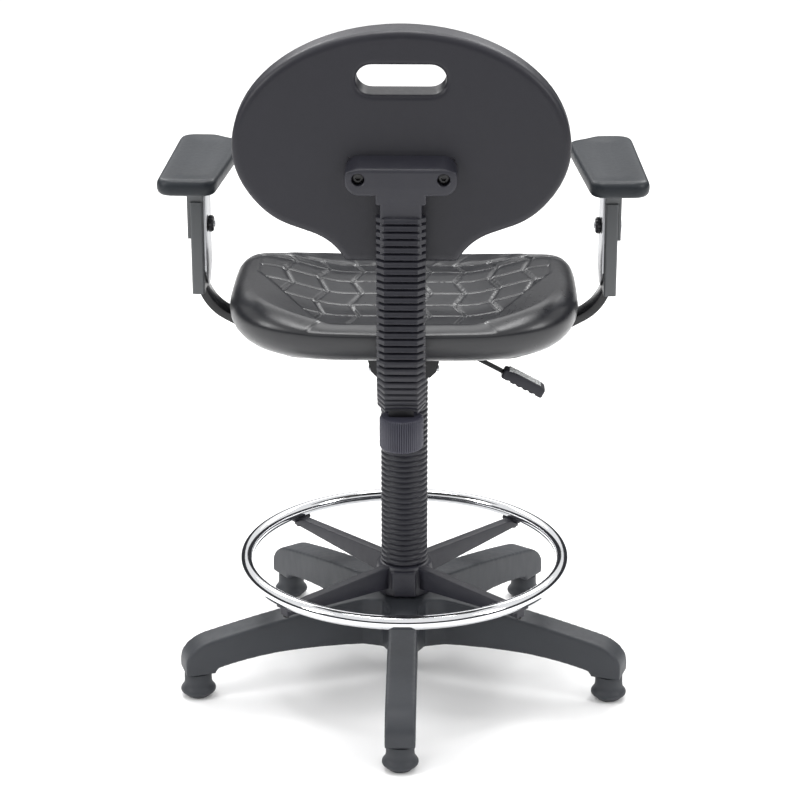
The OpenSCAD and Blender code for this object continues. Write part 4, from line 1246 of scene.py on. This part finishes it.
class CHAIR_OT_metalwork(bpy.types.Operator):
    """Housing, plates, spine, and the screws that show, with their edges rounded"""
    bl_idname = "chair.metalwork"
    bl_label = "Metalwork"

    def execute(self, context):
        edge = sizes().edge
        for node, body, finish, slot, width in (
                ("mechanism_housing", "seat", "satin_paint", "black_steel", 1.5 * edge),
                ("seat_plate", "seat", "satin_paint", "black_steel", edge),
                ("spine_bar", "spine", "satin_paint", "black_steel", edge),
                ("elbow_block", "spine", "satin_paint", "black_steel", edge),
                ("spine_pin", "seat", "zinc", "zinc_steel", edge),
                ("seat_bolts", "seat", "zinc", "zinc_steel", edge / 2),
                ("arm_bolts", "seat", "zinc", "zinc_steel", edge / 2),
                ("ring_screws", "base", "screw", "screw_black", edge / 2),
                ("back_screws", "back", "screw", "screw_black", edge / 3)):
            piece = from_frame(node, f"{node}_piece", width)
            finished(piece, body, finish, [node], slot, 32)
        return {"FINISHED"}


class CHAIR_OT_inner_parts(bpy.types.Operator):
    """Finishes on the frame's own pieces inside the chair, which stay as they are"""
    bl_idname = "chair.inner_parts"
    bl_label = "Inner parts"

    def execute(self, context):
        finishes = {
            "zinc": ("hub_ring", "glide_stems", "thrust_bearing", "rod_clip", "column_socket",
                     "tee_nuts", "lever_pin", "release_pin", "wheel_stud", "back_core"),
            "strip": ("piston_rod",),
            "satin_paint": ("column_tube", "gas_cylinder"),
            "bush": ("guide_bush",),
            "knob": ("piston",),
            "insert": ("back_inserts",),
            "board": ("seat_pan",),
        }
        for finish, nodes in finishes.items():
            for node in nodes:
                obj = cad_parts[node]
                obj.data.materials.clear()
                obj.data.materials.append(material(finish))
        return {"FINISHED"}


# ---- Studio ----

class CHAIR_OT_studio(bpy.types.Operator):
    """Pale floor, soft lights and the camera"""
    bl_idname = "chair.studio"
    bl_label = "Studio"

    def lamp(self, name, spot, aim, width, depth, power):
        bpy.ops.object.light_add(type="AREA", location=spot)
        light = bpy.context.object
        light.name = name
        light.data.shape = "RECTANGLE"
        light.data.size = width
        light.data.size_y = depth
        light.data.energy = power
        light.rotation_euler = (Vector(aim) - Vector(spot)).to_track_quat("-Z", "Y").to_euler()
        return light

    def execute(self, context):
        scene = context.scene
        clear_selection()
        bpy.ops.mesh.primitive_plane_add(size=40, location=(0, 0, -0.0004))
        floor = added("floor")
        floor.data.materials.append(material("floor"))

        bpy.ops.mesh.primitive_cylinder_add(vertices=96, radius=7, depth=2.9, end_fill_type="NOTHING",
                                            location=(0, 0, 1.6))
        drapes = added("drapes")
        drapes.data.materials.append(material("drape"))
        drapes.visible_camera = False
        drapes.visible_diffuse = False
        drapes.visible_shadow = False

        world = scene.world or bpy.data.worlds.new("Studio")
        scene.world = world
        world.use_nodes = True
        world.node_tree.nodes["Background"].inputs["Color"].default_value = (1, 1, 1, 1)
        world.node_tree.nodes["Background"].inputs["Strength"].default_value = 0.95
        scene.view_settings.view_transform = "Standard"

        for name, spot, aim_height, width, depth, power in (
                ("overhead", (0.1, -0.2, 3.2), 0.4, 1.8, 1.2, 60),
                ("far_box", (0.0, -3.8, 3.5), 0.5, 3.8, 1.3, 24),
                ("far_left", (1.7, -2.8, 3.1), 0.5, 1.2, 1.0, 42),
                ("far_right", (-1.7, -2.8, 3.1), 0.5, 1.2, 1.0, 42),
                ("left_box", (2.6, 1.2, 2.1), 0.5, 0.8, 1.4, 34),
                ("right_box", (-2.6, 1.2, 2.1), 0.5, 0.8, 1.4, 28)):
            self.lamp(name, spot, (0, 0, aim_height), width, depth, power)

        distance, height = 3.130, 1.552
        yaw, pitch = math.radians(1.04), math.radians(20.35)
        spot = (-distance * math.sin(yaw), AXIS_Y + distance * math.cos(yaw), height)
        bpy.ops.object.camera_add(location=spot,
                                  rotation=(math.pi / 2 - pitch, 0, math.pi + yaw))
        camera = bpy.context.object
        camera.data.lens = 110.88
        camera.data.shift_x = -0.0055
        camera.data.shift_y = 0.0065
        scene.camera = camera
        return {"FINISHED"}


# ---- The panel and the order of work ----

PIECES = (
    CHAIR_OT_base, CHAIR_OT_glides, CHAIR_OT_foot_ring, CHAIR_OT_spider, CHAIR_OT_column_bellows,
    CHAIR_OT_spine_bellows, CHAIR_OT_wheel, CHAIR_OT_bracket, CHAIR_OT_seat, CHAIR_OT_backrest,
    CHAIR_OT_arm_pads, CHAIR_OT_arms, CHAIR_OT_lever, CHAIR_OT_metalwork, CHAIR_OT_inner_parts,
    CHAIR_OT_studio,
)


class CHAIR_PT_panel(bpy.types.Panel):
    bl_idname = "CHAIR_PT_panel"
    bl_label = "Drafting chair"
    bl_space_type = "VIEW_3D"
    bl_region_type = "UI"
    bl_category = "Chair"

    def draw(self, context):
        layout = self.layout
        for group in (context.scene.chair_sizes, context.scene.chair_colours):
            column = layout.column(align=True)
            for key in group.__annotations__:
                column.prop(group, key)
        column = layout.column(align=True)
        for piece in PIECES:
            column.operator(piece.bl_idname)


CLASSES = (ChairSizes, ChairColours, *PIECES, CHAIR_PT_panel)


def register():
    for cls in CLASSES:
        bpy.utils.register_class(cls)
    bpy.types.Scene.chair_sizes = bpy.props.PointerProperty(type=ChairSizes)
    bpy.types.Scene.chair_colours = bpy.props.PointerProperty(type=ChairColours)


def unregister():
    del bpy.types.Scene.chair_colours
    del bpy.types.Scene.chair_sizes
    for cls in reversed(CLASSES):
        bpy.utils.unregister_class(cls)


def main():
    register()
    for piece in PIECES:
        section, name = piece.bl_idname.split(".")
        getattr(getattr(bpy.ops, section), name)()


if __name__ == "__main__":
    main()
